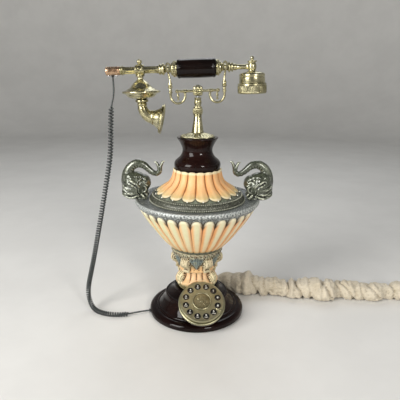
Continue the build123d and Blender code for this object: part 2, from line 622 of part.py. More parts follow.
BELL_AXIS = Axis((BELL_X, 0, 0), (0, 0, 1))
with BuildPart() as transmitter_bell:
    # turned bell with its hanger stem, hollow for the microphone
    with BuildSketch(Plane.XZ):
        with BuildLine():
            Polyline((BELL_X, 26.0), (BELL_X + 5.0, 26.0), (BELL_X + 5.0, 24.6), (BELL_X + 6.4, 24.2), (BELL_X + 6.4, 22.6), (BELL_X + 4.6, 22.0), (BELL_X + 5.0, 18.6))
            Spline((BELL_X + 5.0, 18.6), (BELL_X + 10.6, 11.6), (BELL_X + 18.0, 4.8), (BELL_X + 27.8, 1.9), tangents=[(0.3, -1), (1, -0.1)])
            Polyline((BELL_X + 27.8, 1.9), (BELL_X + 28.2, 0.6), (BELL_X + 26.0, -1.2))
            Spline((BELL_X + 26.0, -1.2), (BELL_X + 17.0, -4.6), (BELL_X + 7.0, -7.0), tangents=[(-1, -0.2), (-1, -0.1)])
            Polyline((BELL_X + 7.0, -7.0), (BELL_X, -7.0), (BELL_X, 26.0))
        make_face()
    revolve(axis=BELL_AXIS)
    with BuildSketch(Plane.XZ):
        with BuildLine():
            Polyline((BELL_X, -4.6), (BELL_X + 9.4, -4.2), (BELL_X + 13.0, 1.2), (BELL_X + 9.4, 5.6), (BELL_X + 6.0, 10.5), (BELL_X, 12.0), (BELL_X, -4.6))
        make_face()
    revolve(axis=BELL_AXIS, mode=Mode.SUBTRACT)
    # sound passage down to the horn
    with BuildSketch(Plane.XY.offset(-8)):
        with Locations((BELL_X, 0)):
            Circle(3.2)
    extrude(amount=5, mode=Mode.SUBTRACT)
    # split clamp ring round the six-sided tube, with its eyelet finial
    with BuildSketch(Plane(origin=(BELL_X - 6.0, 0, HAND_Z), x_dir=(0, 1, 0), z_dir=(1, 0, 0))):
        Circle(7.7)
    extrude(amount=12.0)
    with BuildSketch(Plane(origin=(BELL_X - 8.0, 0, HAND_Z), x_dir=(0, 1, 0), z_dir=(1, 0, 0))):
        RegularPolygon(5.85, 6)
    extrude(amount=16.0, mode=Mode.SUBTRACT)
    with BuildSketch(Plane.XZ):
        with BuildLine():
            Polyline((BELL_X, 38.4), (BELL_X + 4.2, 38.4), (BELL_X + 4.2, 40.2), (BELL_X + 2.4, 41.0), (BELL_X + 3.8, 43.4), (BELL_X + 3.4, 45.8), (BELL_X + 1.6, 47.2), (BELL_X, 47.4), (BELL_X, 38.4))
        make_face()
    revolve(axis=BELL_AXIS)
transmitter_bell.part.move(TILT)
save(transmitter_bell, "transmitter_bell")

with BuildPart() as mic_capsule:
    with BuildSketch(Plane.XY.offset(-3.2)):
        with Locations((BELL_X, 0)):
            Circle(8.0)
    extrude(amount=6.5)
mic_capsule.part.move(TILT)
save(mic_capsule, "mic_capsule")

# horn: collar, elbow and flared mouth, sections along its centre line
HORN_TIP = (-54.4, -39.8)
HORN_DROP = 13.0
horn_dir = (math.cos(math.radians(HORN_DROP)), -math.sin(math.radians(HORN_DROP)))
HORN_R = 17.5
bend = math.radians(90 - HORN_DROP)
horn_corner_z = HORN_TIP[1] + (BELL_X - HORN_TIP[0]) * horn_dir[1] / horn_dir[0]
bend_start_z = horn_corner_z + HORN_R * math.tan(bend / 2)
end_x = BELL_X + HORN_R - HORN_R * math.cos(bend)
end_z = bend_start_z - HORN_R * math.sin(bend)
run = math.hypot(HORN_TIP[0] - end_x, HORN_TIP[1] - end_z)
flare_plane = Plane(origin=(end_x, 0, end_z), x_dir=(horn_dir[0], 0, horn_dir[1]), z_dir=(0, -1, 0))
ELBOW_R, ELBOW_BORE = 6.8, 4.4
with BuildPart() as horn:
    # elbow
    with BuildSketch(Plane.XY.offset(bend_start_z)):
        with Locations((BELL_X, 0)):
            Circle(ELBOW_R)
            Circle(ELBOW_BORE, mode=Mode.SUBTRACT)
    revolve(axis=Axis((BELL_X + HORN_R, 0, bend_start_z), (0, -1, 0)), revolution_arc=90 - HORN_DROP)
    # collar under the bell
    with BuildSketch(Plane.XZ):
        with BuildLine():
            Polyline((BELL_X + 3.2, bend_start_z), (BELL_X + ELBOW_R, bend_start_z), (BELL_X + 7.6, -17.6), (BELL_X + 7.6, -16.0), (BELL_X + 6.0, -15.2), (BELL_X + 8.4, -12.6), (BELL_X + 8.4, -10.6), (BELL_X + 5.6, -9.4), (BELL_X + 5.0, -7.0), (BELL_X + 3.2, -7.0), (BELL_X + 3.2, bend_start_z))
        make_face()
    revolve(axis=BELL_AXIS)
    # flared mouth with its double flange
    with BuildSketch(flare_plane):
        with BuildLine():
            Polyline((0, ELBOW_BORE), (0, ELBOW_R), (3.0, 8.4), (run * 0.5, 11.8), (run - 3.4, 16.4), (run - 3.4, 21.4), (run - 1.6, 21.4), (run - 1.6, 22.6), (run + 0.7, 22.6), (run + 0.7, 18.6), (run - 3.0, 14.4), (run * 0.5, 10.0), (3.0, 6.4), (0, ELBOW_BORE))
        make_face()
    revolve(axis=Axis((end_x, 0, end_z), (horn_dir[0], 0, horn_dir[1])))
horn.part.move(TILT)
save(horn, "horn")

RECV_AXIS = Axis((RECV_X, 0, 0), (0, 0, 1))
with BuildPart() as receiver_cup:
    with BuildSketch(Plane.XZ):
        with BuildLine():
            Polyline((RECV_X, 46.4), (RECV_X + 1.8, 45.8), (RECV_X + 3.0, 43.4), (RECV_X + 1.6, 41.0), (RECV_X + 3.0, 40.2), (RECV_X + 7.0, 39.4), (RECV_X + 7.0, 37.6), (RECV_X + 5.2, 36.6), (RECV_X + 6.2, 33.0), (RECV_X + 6.2, 30.0), (RECV_X + 5.4, 26.6), (RECV_X + 7.4, 24.4), (RECV_X + 16.0, 23.0), (RECV_X + 18.6, 21.0), (RECV_X + 19.0, 19.0), (RECV_X + 19.0, 8.5), (RECV_X + 16.6, 8.5), (RECV_X + 16.6, 20.0), (RECV_X, 20.6), (RECV_X, 46.4))
        make_face()
    revolve(axis=RECV_AXIS)
receiver_cup.part.move(TILT)
save(receiver_cup, "receiver_cup")

with BuildPart() as receiver_cap:
    with BuildSketch(Plane.XZ):
        with BuildLine():
            Polyline((RECV_X, -2.4), (RECV_X + 16.0, -4.6), (RECV_X + 17.6, -6.6), (RECV_X + 20.0, -6.6), (RECV_X + 21.3, -5.4), (RECV_X + 21.3, 7.2), (RECV_X + 20.2, 8.5), (RECV_X + 16.4, 8.5), (RECV_X + 16.4, -1.6), (RECV_X, -0.6), (RECV_X, -2.4))
        make_face()
    revolve(axis=RECV_AXIS)
    # sound holes
    with BuildSketch(Plane.XY.offset(-6)):
        with Locations((RECV_X, 0)):
            Circle(1.3)
            with PolarLocations(7.0, 6):
                Circle(1.3)
    extrude(amount=8, mode=Mode.SUBTRACT)
receiver_cap.part.move(TILT)
save(receiver_cap, "receiver_cap")

with BuildPart() as speaker_capsule:
    with BuildSketch(Plane.XY.offset(1.2)):
        with Locations((RECV_X, 0)):
            Circle(15.6)
    extrude(amount=5.0)
    with BuildSketch(Plane.XY.offset(6.2)):
        with Locations((RECV_X, 0)):
            Circle(8.0)
    extrude(amount=5.0)
speaker_capsule.part.move(TILT)
save(speaker_capsule, "speaker_capsule")


# ---------------------------------------------------------------- cords
def corner_radii(points):
    radii = []
    for a, b, c in zip(points, points[1:], points[2:]):
        u, v = Vector(*b) - Vector(*a), Vector(*c) - Vector(*b)
        turn = math.radians(u.get_angle(v))
        radii.append(0.45 * min(u.length, v.length) / math.tan(turn / 2))
    return radii


def start_plane(points):
    return Plane(origin=points[0], z_dir=Vector(*points[1]) - Vector(*points[0]))


def report(name, part, path, area, radii):
    print(name, "volume", round(part.volume, 1), "section x length", round(area * path.length, 1), "length", round(path.length, 1), "radii", [round(r, 1) for r in radii])


# handset cord: plain lead from the end cap, curl to the table, plain tail
TOP_POINTS = [(-125.0, 0.0, 376.6), (-124.0, 0.0, 364.0), (-125.2, -0.6, 349.5), (-129.4, -1.2, 334.0)]
CURL_POINTS = [
    (-129.4, -1.2, 334.0), (-131.4, -1.8, 302.0), (-133.2, -2.4, 262.0), (-142.0, -3.0, 218.0), (-151.4, -3.2, 172.0),
    (-161.6, -3.0, 125.0), (-170.8, -2.2, 84.0), (-178.4, -1.0, 54.0), (-182.6, -0.2, 34.8), (-181.6, -3.8, 20.4),
    (-175.6, -11.2, 9.2), (-166.2, -20.4, 4.6), (-151.0, -28.6, 4.6), (-133.0, -32.4, 4.6), (-118.6, -31.2, 4.6), (-107.0, -27.6, 4.6),
]
TAIL_POINTS = [(-107.0, -27.6, 4.6), (-98.0, -24.4, 4.8), (-88.0, -21.6, 5.3), (-77.9, -18.84, 5.4)]
with BuildPart() as handset_cord_top:
    radii = corner_radii(TOP_POINTS)
    with BuildLine():
        path = FilletPolyline(*TOP_POINTS, radius=radii)
    with BuildSketch(start_plane(TOP_POINTS)):
        Circle(WIRE_D / 2)
    sweep()
report("handset_cord_top", handset_cord_top.part, path, math.pi * WIRE_D**2 / 4, radii)
save(handset_cord_top, "handset_cord_top")

with BuildPart() as handset_cord_curl:
    radii = corner_radii(CURL_POINTS)
    with BuildLine():
        path = FilletPolyline(*CURL_POINTS, radius=radii)
    with BuildSketch(start_plane(CURL_POINTS)):
        Circle(CURL_D / 2)
    sweep()
report("handset_cord_curl", handset_cord_curl.part, path, math.pi * CURL_D**2 / 4, radii)
save(handset_cord_curl, "handset_cord_curl")

with BuildPart() as handset_cord_tail:
    radii = corner_radii(TAIL_POINTS)
    with BuildLine():
        path = FilletPolyline(*TAIL_POINTS, radius=radii)
    with BuildSketch(start_plane(TAIL_POINTS)):
        Circle(WIRE_D / 2)
    sweep()
report("handset_cord_tail", handset_cord_tail.part, path, math.pi * WIRE_D**2 / 4, radii)
save(handset_cord_tail, "handset_cord_tail")

# line cord lying on the table inside its gathered fabric cover
LINE_POINTS = [
    (0.0, 80.6, 5.6), (0.4, 92.6, 5.8), (8.1, 102.4, 6.4), (21.6, 106.1, 7.0), (43.0, 96.0, 7.2), (68.0, 81.0, 7.2), (98.0, 67.0, 7.2),
    (138.0, 58.0, 7.2), (184.0, 52.0, 7.2), (230.0, 49.0, 7.2), (276.0, 46.4, 7.2), (322.0, 44.8, 7.2), (362.0, 45.0, 7.2), (387.0, 46.7, 7.4), (403.0, 47.8, 7.6), (414.6, 47.7, 7.6),
]
COVER_POINTS = [
    (26.0, 103.1, 15.9), (43.0, 96.0, 15.9), (68.0, 81.0, 15.9), (98.0, 67.0, 15.9),
    (138.0, 58.0, 15.9), (184.0, 52.0, 15.9), (230.0, 49.0, 15.9), (276.0, 46.4, 15.9), (322.0, 44.8, 15.9), (362.0, 45.0, 15.9), (384.0, 46.4, 15.9),
]
with BuildPart() as line_cord:
    radii = corner_radii(LINE_POINTS)
    with BuildLine():
        path = FilletPolyline(*LINE_POINTS, radius=radii)
    with BuildSketch(start_plane(LINE_POINTS)):
        Circle(LINE_D / 2)
    sweep()
report("line_cord", line_cord.part, path, math.pi * LINE_D**2 / 4, radii)
save(line_cord, "line_cord")

with BuildPart() as cord_cover:
    radii = corner_radii(COVER_POINTS)
    with BuildLine():
        path = FilletPolyline(*COVER_POINTS, radius=radii)
    with BuildSketch(start_plane(COVER_POINTS)):
        Circle(COVER_D / 2)
        Circle(COVER_BORE / 2, mode=Mode.SUBTRACT)
    sweep()
report("cord_cover", cord_cover.part, path, math.pi * (COVER_D**2 - COVER_BORE**2) / 4, radii)
save(cord_cover, "cord_cover")

with BuildPart() as line_cord_coil:
    with BuildSketch(Plane.XZ):
        with Locations(((COIL_OUT + COIL_IN) / 2, COIL_H / 2 + 0.1)):
            RectangleRounded(COIL_OUT - COIL_IN, COIL_H, 2.4)
    revolve(axis=Axis.Z)
line_cord_coil.part.move(Location((COIL_C[0], COIL_C[1], 0)))
save(line_cord_coil, "line_cord_coil")

with BuildPart() as line_plug:
    # modular plug with latch and a short boot, lying beside the coil
    with Locations((COIL_C[0] + 36.5, COIL_C[1] + 32.9, 4.2)):
        Box(21.0, 11.7, 6.6)
    with Locations((COIL_C[0] + 40.5, COIL_C[1] + 32.9, 8.3)):
        Box(12.0, 3.2, 1.6)
    with BuildSketch(Plane(origin=(COIL_C[0] + 26.0, COIL_C[1] + 32.9, 3.6), z_dir=(-1, 0, 0))):
        Circle(2.9)
    extrude(amount=9.6)
save(line_plug, "line_plug")
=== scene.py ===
import bpy
import bmesh
import math
import json
import numpy as np
from mathutils import Matrix, Vector, kdtree, noise

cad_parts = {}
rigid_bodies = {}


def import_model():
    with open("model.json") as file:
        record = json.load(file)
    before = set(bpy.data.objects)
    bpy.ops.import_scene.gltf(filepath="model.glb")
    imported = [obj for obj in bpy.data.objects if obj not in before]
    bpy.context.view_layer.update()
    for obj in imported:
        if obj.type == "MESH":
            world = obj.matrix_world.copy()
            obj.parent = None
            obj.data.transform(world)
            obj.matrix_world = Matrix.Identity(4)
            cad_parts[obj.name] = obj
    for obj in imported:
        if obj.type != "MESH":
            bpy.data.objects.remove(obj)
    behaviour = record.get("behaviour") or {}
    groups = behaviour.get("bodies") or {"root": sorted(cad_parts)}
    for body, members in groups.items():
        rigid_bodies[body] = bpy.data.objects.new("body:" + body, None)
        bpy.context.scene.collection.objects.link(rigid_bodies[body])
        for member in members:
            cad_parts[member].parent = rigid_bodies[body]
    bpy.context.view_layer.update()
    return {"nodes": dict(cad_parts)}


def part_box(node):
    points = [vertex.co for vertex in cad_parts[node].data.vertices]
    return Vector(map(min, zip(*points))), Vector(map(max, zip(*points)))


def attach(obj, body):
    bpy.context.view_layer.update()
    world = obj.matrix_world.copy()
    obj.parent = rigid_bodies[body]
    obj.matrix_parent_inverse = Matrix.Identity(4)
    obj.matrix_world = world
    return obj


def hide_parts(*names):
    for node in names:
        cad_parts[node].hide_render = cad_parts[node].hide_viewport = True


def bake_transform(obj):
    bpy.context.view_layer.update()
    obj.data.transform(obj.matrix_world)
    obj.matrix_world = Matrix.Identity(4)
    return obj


for o in list(bpy.data.objects):
    bpy.data.objects.remove(o, do_unlink=True)
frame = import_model()
nodes = frame["nodes"]
scene = bpy.context.scene
MM = 0.001
PI = math.pi


# ------------------------------------------------------------------ camera
def make_camera():
    pitch, roll = math.radians(15.90), math.radians(0.5)
    fwd = Vector((0, math.cos(pitch), -math.sin(pitch)))
    up0 = Vector((0, math.sin(pitch), math.cos(pitch)))
    xv = Vector((1, 0, 0))
    up = math.cos(roll) * up0 - math.sin(roll) * xv
    right = math.cos(roll) * xv + math.sin(roll) * up0
    data = bpy.data.cameras.new("cam")
    data.sensor_width = 36
    data.lens = 38.7
    data.clip_start, data.clip_end = 0.05, 60
    cam = bpy.data.objects.new("cam", data)
    scene.collection.objects.link(cam)
    m = Matrix((right, up, -fwd)).transposed().to_4x4()
    m.translation = Vector((0.0045, -0.6558, 0.3781))
    cam.matrix_world = m
    scene.camera = cam


make_camera()


# ------------------------------------------------------------------ colours
def lin(r, g, b):
    out = []
    for c in (r, g, b):
        c = c / 255.0
        out.append(c / 12.92 if c <= 0.04045 else ((c + 0.055) / 1.055) ** 2.4)
    return tuple(out)


def lina(c):
    return np.array(lin(*c))


# ------------------------------------------------------------------ materials
class Mat:
    """Small helper that wires a node material."""

    def __init__(self, name):
        self.m = bpy.data.materials.new(name)
        self.m.use_nodes = True
        self.t = self.m.node_tree
        self.t.nodes.clear()
        self.out = self.n("ShaderNodeOutputMaterial")
        self.b = self.n("ShaderNodeBsdfPrincipled")
        self.l(self.b.outputs[0], self.out.inputs[0])
        self.co = self.n("ShaderNodeTexCoord").outputs["Object"]
        self.height = None

    def n(self, kind, **kw):
        node = self.t.nodes.new(kind)
        for k, v in kw.items():
            setattr(node, k, v)
        return node

    def l(self, a, b):
        self.t.links.new(a, b)

    def val(self, socket, v):
        if isinstance(v, (int, float)):
            socket.default_value = v
        elif isinstance(v, tuple):
            socket.default_value = (*v, 1.0) if len(v) == 3 else v
        else:
            self.l(v, socket)

    def map(self, scale=(1, 1, 1), src=None):
        node = self.n("ShaderNodeMapping")
        self.l(src or self.co, node.inputs["Vector"])
        node.inputs["Scale"].default_value = scale
        return node.outputs[0]

    def noise(self, scale, detail=4, rough=0.55, dist=0.0, src=None):
        node = self.n("ShaderNodeTexNoise")
        self.l(src or self.co, node.inputs["Vector"])
        node.inputs["Scale"].default_value = scale
        node.inputs["Detail"].default_value = detail
        node.inputs["Roughness"].default_value = rough
        node.inputs["Distortion"].default_value = dist
        return node.outputs["Fac"]

    def voronoi(self, scale, feature="F1", src=None, out="Distance"):
        node = self.n("ShaderNodeTexVoronoi", feature=feature)
        self.l(src or self.co, node.inputs["Vector"])
        node.inputs["Scale"].default_value = scale
        return node.outputs[out]

    def ramp(self, fac, lo, hi, a=0.0, b=1.0):
        node = self.n("ShaderNodeMapRange", interpolation_type="SMOOTHSTEP")
        self.l(fac, node.inputs["Value"])
        node.inputs["From Min"].default_value = lo
        node.inputs["From Max"].default_value = hi
        node.inputs["To Min"].default_value = a
        node.inputs["To Max"].default_value = b
        return node.outputs["Result"]

    def mix(self, fac, a, b, mode="MIX"):
        node = self.n("ShaderNodeMix", data_type="RGBA", blend_type=mode)
        self.val(node.inputs["Factor"], fac)
        self.val(node.inputs[6], a)
        self.val(node.inputs[7], b)
        return node.outputs[2]

    def math(self, op, a, b=0.0):
        node = self.n("ShaderNodeMath", operation=op)
        self.val(node.inputs[0], a)
        self.val(node.inputs[1], b)
        return node.outputs[0]

    def attr(self, name, out="Fac"):
        return self.n("ShaderNodeAttribute", attribute_name=name).outputs[out]

    def bump(self, height, strength, distance):
        node = self.n("ShaderNodeBump")
        self.l(height, node.inputs["Height"])
        node.inputs["Strength"].default_value = strength
        node.inputs["Distance"].default_value = distance
        if self.height is not None:
            self.l(self.height, node.inputs["Normal"])
        self.height = node.outputs[0]
        self.l(self.height, self.b.inputs["Normal"])

    def set(self, **kw):
        for k, v in kw.items():
            self.val(self.b.inputs[k.replace("_", " ")], v)
        return self.m


def metal(name, light, mid, dark, rough=(0.2, 0.42), cav=False, grain=0.12, spots=0.35):
    """Aged cast or turned metal: tone drift, dark tarnish spots, dull patches and fine pitting."""
    m = Mat(name)
    drift = m.ramp(m.noise(45, 5, 0.6), 0.3, 0.72)
    base = m.mix(drift, light, mid)
    tarnish = m.ramp(m.noise(170, 8, 0.7), 0.5, 0.78)
    base = m.mix(m.math("MULTIPLY", tarnish, spots), base, dark)
    if cav:
        c = m.attr("Cav")
        base = m.mix(m.ramp(c, 0.5, 0.12, 0.0, 0.92), base, dark)
        base = m.mix(m.ramp(c, 0.58, 0.95, 0.0, 0.65), base, light)
    r = m.ramp(m.noise(95, 6, 0.65), 0.3, 0.75, rough[0], rough[1])
    m.bump(m.noise(1500, 3, 0.5), grain, 0.0002)
    m.bump(m.noise(240, 4, 0.6), grain * 0.6, 0.0006)
    m.set(Base_Color=base, Metallic=1.0, Roughness=r)
    return m.m


def painted(name, rough=(0.36, 0.55), streak=0.07, coat=0.0, grain=0.25, dirt=(70, 52, 34), dirt_amount=0.5):
    """Hand painted cast resin: vertex colour carries the scheme, glaze and brush texture on top."""
    m = Mat(name)
    col = m.attr("Col", "Color")
    n1 = m.noise(120, 6, 0.65, 0.3)
    col = m.mix(m.ramp(n1, 0.35, 0.75, 0.0, streak * 1.6), col, m.mix(1.0, col, (0.62, 0.52, 0.42), "MULTIPLY"))
    n2 = m.noise(420, 5, 0.6)
    col = m.mix(m.ramp(n2, 0.5, 0.8, 0.0, streak * 1.5), col, (0.86, 0.84, 0.76))
    c = m.attr("Cav")
    col = m.mix(m.ramp(c, 0.44, 0.08, 0.0, dirt_amount), col, lin(*dirt))
    col = m.mix(m.ramp(c, 0.62, 0.98, 0.0, 0.14), col, lin(250, 240, 205))
    r = m.ramp(m.noise(160, 5, 0.6), 0.3, 0.7, rough[0], rough[1])
    m.bump(m.noise(900, 4, 0.6), grain, 0.0003)
    m.bump(m.noise(180, 4, 0.6), grain * 0.7, 0.0008)
    m.set(Base_Color=col, Roughness=r, Coat_Weight=coat, Coat_Roughness=0.2, Specular_IOR_Level=0.26)
    return m.m


def speckled(name, base, light, dark, rough=(0.3, 0.5), cav=True, metallic=0.45, fleck=0.8, coat=0.2):
    """Silver grey brushed-on finish with pale flecks over a darker ground."""
    m = Mat(name)
    col = m.mix(m.ramp(m.noise(70, 5, 0.6), 0.3, 0.7), base, m.mix(0.5, base, dark))
    if cav:
        c = m.attr("Cav")
        col = m.mix(m.ramp(c, 0.5, 0.1, 0.0, 0.95), col, dark)
        # ridges take the light colour; on the dolphin handles raised crest values here give a painted highlight
        col = m.mix(m.ramp(c, 0.6, 0.92, 0.0, 0.8), col, light)
    f1 = m.ramp(m.noise(620, 3, 0.6), 0.56, 0.66, 0.0, fleck)
    f2 = m.ramp(m.noise(330, 4, 0.7), 0.57, 0.66, 0.0, fleck * 0.8)
    col = m.mix(m.math("MAXIMUM", f1, f2), col, light)
    f3 = m.ramp(m.noise(480, 4, 0.7), 0.44, 0.34, 0.0, 0.75)
    col = m.mix(f3, col, dark)
    r = m.ramp(m.noise(200, 4, 0.6), 0.3, 0.7, rough[0], rough[1])
    m.bump(m.noise(800, 4, 0.6), 0.35, 0.0003)
    m.set(Base_Color=col, Metallic=metallic, Roughness=r, Coat_Weight=coat, Coat_Roughness=0.16)
    return m.m


def lacquer(name, base, tint):
    m = Mat(name)
    col = m.mix(m.ramp(m.noise(18, 4, 0.6), 0.35, 0.7), base, tint)
    dust = m.ramp(m.noise(900, 4, 0.7), 0.66, 0.8, 0.0, 0.12)
    col = m.mix(dust, col, lin(120, 112, 100))
    r = m.ramp(m.noise(60, 5, 0.6), 0.3, 0.75, 0.06, 0.15)
    m.bump(m.noise(70, 3, 0.5), 0.05, 0.0006)
    m.set(Base_Color=col, Roughness=r, Coat_Weight=0.12, Coat_Roughness=0.035, Specular_IOR_Level=0.14)
    return m.m


def plastic(name, a, b, rough=(0.3, 0.45), scale=300, grain=0.12, **kw):
    m = Mat(name)
    col = m.mix(m.ramp(m.noise(scale, 4, 0.6), 0.3, 0.7), a, b)
    r = m.ramp(m.noise(150, 4, 0.6), 0.3, 0.7, rough[0], rough[1])
    m.bump(m.noise(1400, 3, 0.5), grain, 0.00015)
    m.set(Base_Color=col, Roughness=r, **kw)
    return m.m


def felt_mat():
    m = Mat("felt_green")
    col = m.mix(m.ramp(m.noise(900, 6, 0.8), 0.3, 0.7), lin(24, 40, 30), lin(52, 74, 56))
    m.bump(m.noise(1600, 5, 0.8), 0.9, 0.0006)
    m.set(Base_Color=col, Roughness=0.95, Sheen_Weight=0.4, Sheen_Roughness=0.6)
    return m.m


def board_mat():
    m = Mat("board_green")
    tracks = m.ramp(m.voronoi(260, "DISTANCE_TO_EDGE"), 0.02, 0.05, 1.0, 0.0)
    col = m.mix(tracks, lin(22, 84, 48), lin(78, 140, 84))
    m.bump(tracks, 0.3, 0.0002)
    m.set(Base_Color=col, Roughness=0.35, Coat_Weight=0.4)
    return m.m


def linen_mat():
    m = Mat("gathered_linen")
    uv = m.n("ShaderNodeUVMap").outputs[0]
    warp = m.n("ShaderNodeTexWave", wave_type="BANDS", bands_direction="X")
    weft = m.n("ShaderNodeTexWave", wave_type="BANDS", bands_direction="Y")
    for w, s in ((warp, 1.0), (weft, 1.0)):
        m.l(uv, w.inputs["Vector"])
        w.inputs["Scale"].default_value = 300
        w.inputs["Distortion"].default_value = 1.2
        w.inputs["Detail"].default_value = 2
    weave = m.math("MULTIPLY", m.math("ADD", warp.outputs["Fac"], weft.outputs["Fac"]), 0.5)
    slub = m.ramp(m.noise(420, 5, 0.7, src=m.map((0.12, 1, 1))), 0.42, 0.72)
    col = m.mix(m.ramp(m.noise(24, 5, 0.6), 0.3, 0.75), lin(206, 196, 176), lin(186, 174, 150))
    col = m.mix(m.math("MULTIPLY", slub, 0.35), col, lin(226, 219, 203))
    col = m.mix(m.ramp(weave, 0.25, 0.05, 0.0, 0.45), col, lin(138, 124, 100))
    c = m.attr("Cav")
    # painted shade: the cloth is darkened in the hollows of its creases
    col = m.mix(m.ramp(c, 0.45, 0.05, 0.0, 0.5), col, lin(140, 126, 102))
    m.bump(weave, 0.5, 0.0004)
    m.bump(m.noise(900, 4, 0.7), 0.3, 0.0003)
    m.set(Base_Color=col, Roughness=0.86, Sheen_Weight=0.25, Sheen_Roughness=0.5)
    return m.m


BRASS = metal("antique_brass", lin(204, 198, 165), lin(154, 147, 112), lin(50, 45, 28), (0.18, 0.34))
BRASS_CAV = metal("antique_brass_relief", lin(196, 190, 156), lin(132, 126, 92), lin(34, 31, 18), (0.22, 0.4), cav=True)
DIAL_BRASS = metal("dial_brass", lin(184, 180, 152), lin(156, 152, 124), lin(76, 72, 52), (0.34, 0.48), cav=False, spots=0.22)
DIAL_RELIEF = metal("dial_relief", lin(176, 171, 142), lin(124, 119, 90), lin(48, 44, 28), (0.32, 0.46), cav=True, spots=0.22)
COPPER = metal("pink_copper", lin(204, 174, 144), lin(164, 130, 102), lin(64, 48, 34), (0.2, 0.36))
STEEL = metal("plated_steel", lin(205, 206, 205), lin(170, 172, 174), lin(70, 68, 64), (0.18, 0.34), spots=0.2)
LACQUER = lacquer("brown_black_lacquer", lin(16, 7, 6), lin(30, 14, 11))
GRIP_MAT = lacquer("grip_lacquer", lin(12, 7, 6), lin(26, 14, 10))
RESIN = painted("painted_resin")
AGED_RESIN = painted("aged_resin", dirt=(58, 44, 26), dirt_amount=0.92, streak=0.12)
RIM_MAT = speckled("silver_speckle", lin(116, 122, 122), lin(208, 212, 208), lin(34, 38, 38), metallic=0.3, coat=0.2)
OLIVE = speckled("olive_bronze", lin(84, 86, 74), lin(184, 186, 168), lin(20, 20, 16), metallic=0.4, fleck=0.5)
VERDI = speckled("verdigris_bronze", lin(78, 84, 68), lin(204, 208, 186), lin(14, 18, 12), rough=(0.24, 0.36), metallic=0.4, fleck=0.1, coat=1.0)
BLACK = plastic("black_plastic", lin(14, 14, 14), lin(24, 23, 22), (0.12, 0.25), Coat_Weight=0.5)
WHITE_INK = plastic("white_ink", lin(232, 230, 220), lin(206, 204, 192), (0.5, 0.7), 500)
RUBBER = plastic("cord_vinyl", lin(38, 42, 42), lin(58, 63, 62), (0.26, 0.4), 260, Coat_Weight=0.2)
WHITE_CORD = plastic("cord_white", lin(222, 218, 206), lin(200, 195, 180), (0.4, 0.55), 120)
CLEAR = plastic("clear_plug", lin(215, 222, 220), lin(190, 198, 196), (0.1, 0.2), 90, Transmission_Weight=0.6, IOR=1.49)
FELT = felt_mat()
BOARD = board_mat()
LINEN = linen_mat()


def paint_node(name, mat):
    o = nodes[name]
    if not o.data.materials:
        o.data.materials.append(mat)
    for i in range(len(o.data.materials)):
        o.data.materials[i] = mat


# ------------------------------------------------------------------ mesh tools
def obj_from(name, V, F, mat, smooth=True, sharp=38, fix=True):
    """Mesh object from millimetre points and faces."""
    me = bpy.data.meshes.new(name)
    V = np.asarray(V, float) * MM
    me.from_pydata([tuple(v) for v in V.tolist()], [], [tuple(int(i) for i in f) for f in F])
    me.validate()
    if fix:
        bm = bmesh.new()
        bm.from_mesh(me)
        bmesh.ops.remove_doubles(bm, verts=bm.verts, dist=1e-7)
        bmesh.ops.recalc_face_normals(bm, faces=bm.faces)
        bm.to_mesh(me)
        bm.free()
    me.polygons.foreach_set("use_smooth", [smooth] * len(me.polygons))
    if sharp:
        me.set_sharp_from_angle(angle=math.radians(sharp))
    me.materials.append(mat)
    o = bpy.data.objects.new(name, me)
    scene.collection.objects.link(o)
    return o


def grid_faces(n, m, wrap_n=False, wrap_m=True, base=0):
    i = np.arange(n if wrap_n else n - 1)
    j = np.arange(m if wrap_m else m - 1)
    I, J = np.meshgrid(i, j, indexing="ij")
    I2, J2 = (I + 1) % n, (J + 1) % m
    return (np.stack([I * m + J, I * m + J2, I2 * m + J2, I2 * m + J], -1).reshape(-1, 4) + base)


def dense(points, step, closed=False):
    """Points along a polyline at about an even step, corners kept."""
    P = np.asarray(points, float)
    if closed:
        P = np.vstack([P, P[:1]])
    out = []
    for a, b in zip(P[:-1], P[1:]):
        k = max(1, int(math.ceil(np.linalg.norm(b - a) / step)))
        for t in range(k):
            out.append(a + (b - a) * t / k)
    if not closed:
        out.append(P[-1])
    return np.array(out)


def spline(points, n):
    """Catmull-Rom through the points."""
    P = np.asarray(points, float)
    P = np.vstack([2 * P[0] - P[1], P, 2 * P[-1] - P[-2]])
    L = [0.0]
    for a, b in zip(P[1:-2], P[2:-1]):
        L.append(L[-1] + np.linalg.norm(b - a))
    L = np.array(L)
    out = []
    for s in np.linspace(0, L[-1], n):
        k = min(max(int(np.searchsorted(L, s) - 1), 0), len(L) - 2)
        t = (s - L[k]) / max(L[k + 1] - L[k], 1e-9)
        p0, p1, p2, p3 = P[k], P[k + 1], P[k + 2], P[k + 3]
        out.append(0.5 * ((2 * p1) + (-p0 + p2) * t + (2 * p0 - 5 * p1 + 4 * p2 - p3) * t**2 + (-p0 + 3 * p1 - 3 * p2 + p3) * t**3))
    return np.array(out)


def rounded(points, r=0.5, k=3):
    """Profile with its corners broken by small arcs; end points kept."""
    P = [np.array(p, float) for p in points]
    out = [P[0]]
    for a, b, c in zip(P[:-2], P[1:-1], P[2:]):
        u, v = a - b, c - b
        lu, lv = np.linalg.norm(u), np.linalg.norm(v)
        if lu < 1e-9 or lv < 1e-9:
            out.append(b)
            continue
        u, v = u / lu, v / lv
        d = min(r, 0.4 * lu, 0.4 * lv)
        p, q = b + u * d, b + v * d
        for t in np.linspace(0, 1, k + 1):
            out.append((1 - t) ** 2 * p + 2 * t * (1 - t) * b + t * t * q)
    out.append(P[-1])
    return np.array(out)


AXIS_Z = np.eye(4)


def frame4(origin, x, y, z):
    m = np.eye(4)
    m[:3, 0], m[:3, 1], m[:3, 2], m[:3, 3] = x, y, z, origin
    return m


def put(V, M):
    V = np.asarray(V, float)
    return V @ M[:3, :3].T + M[:3, 3]


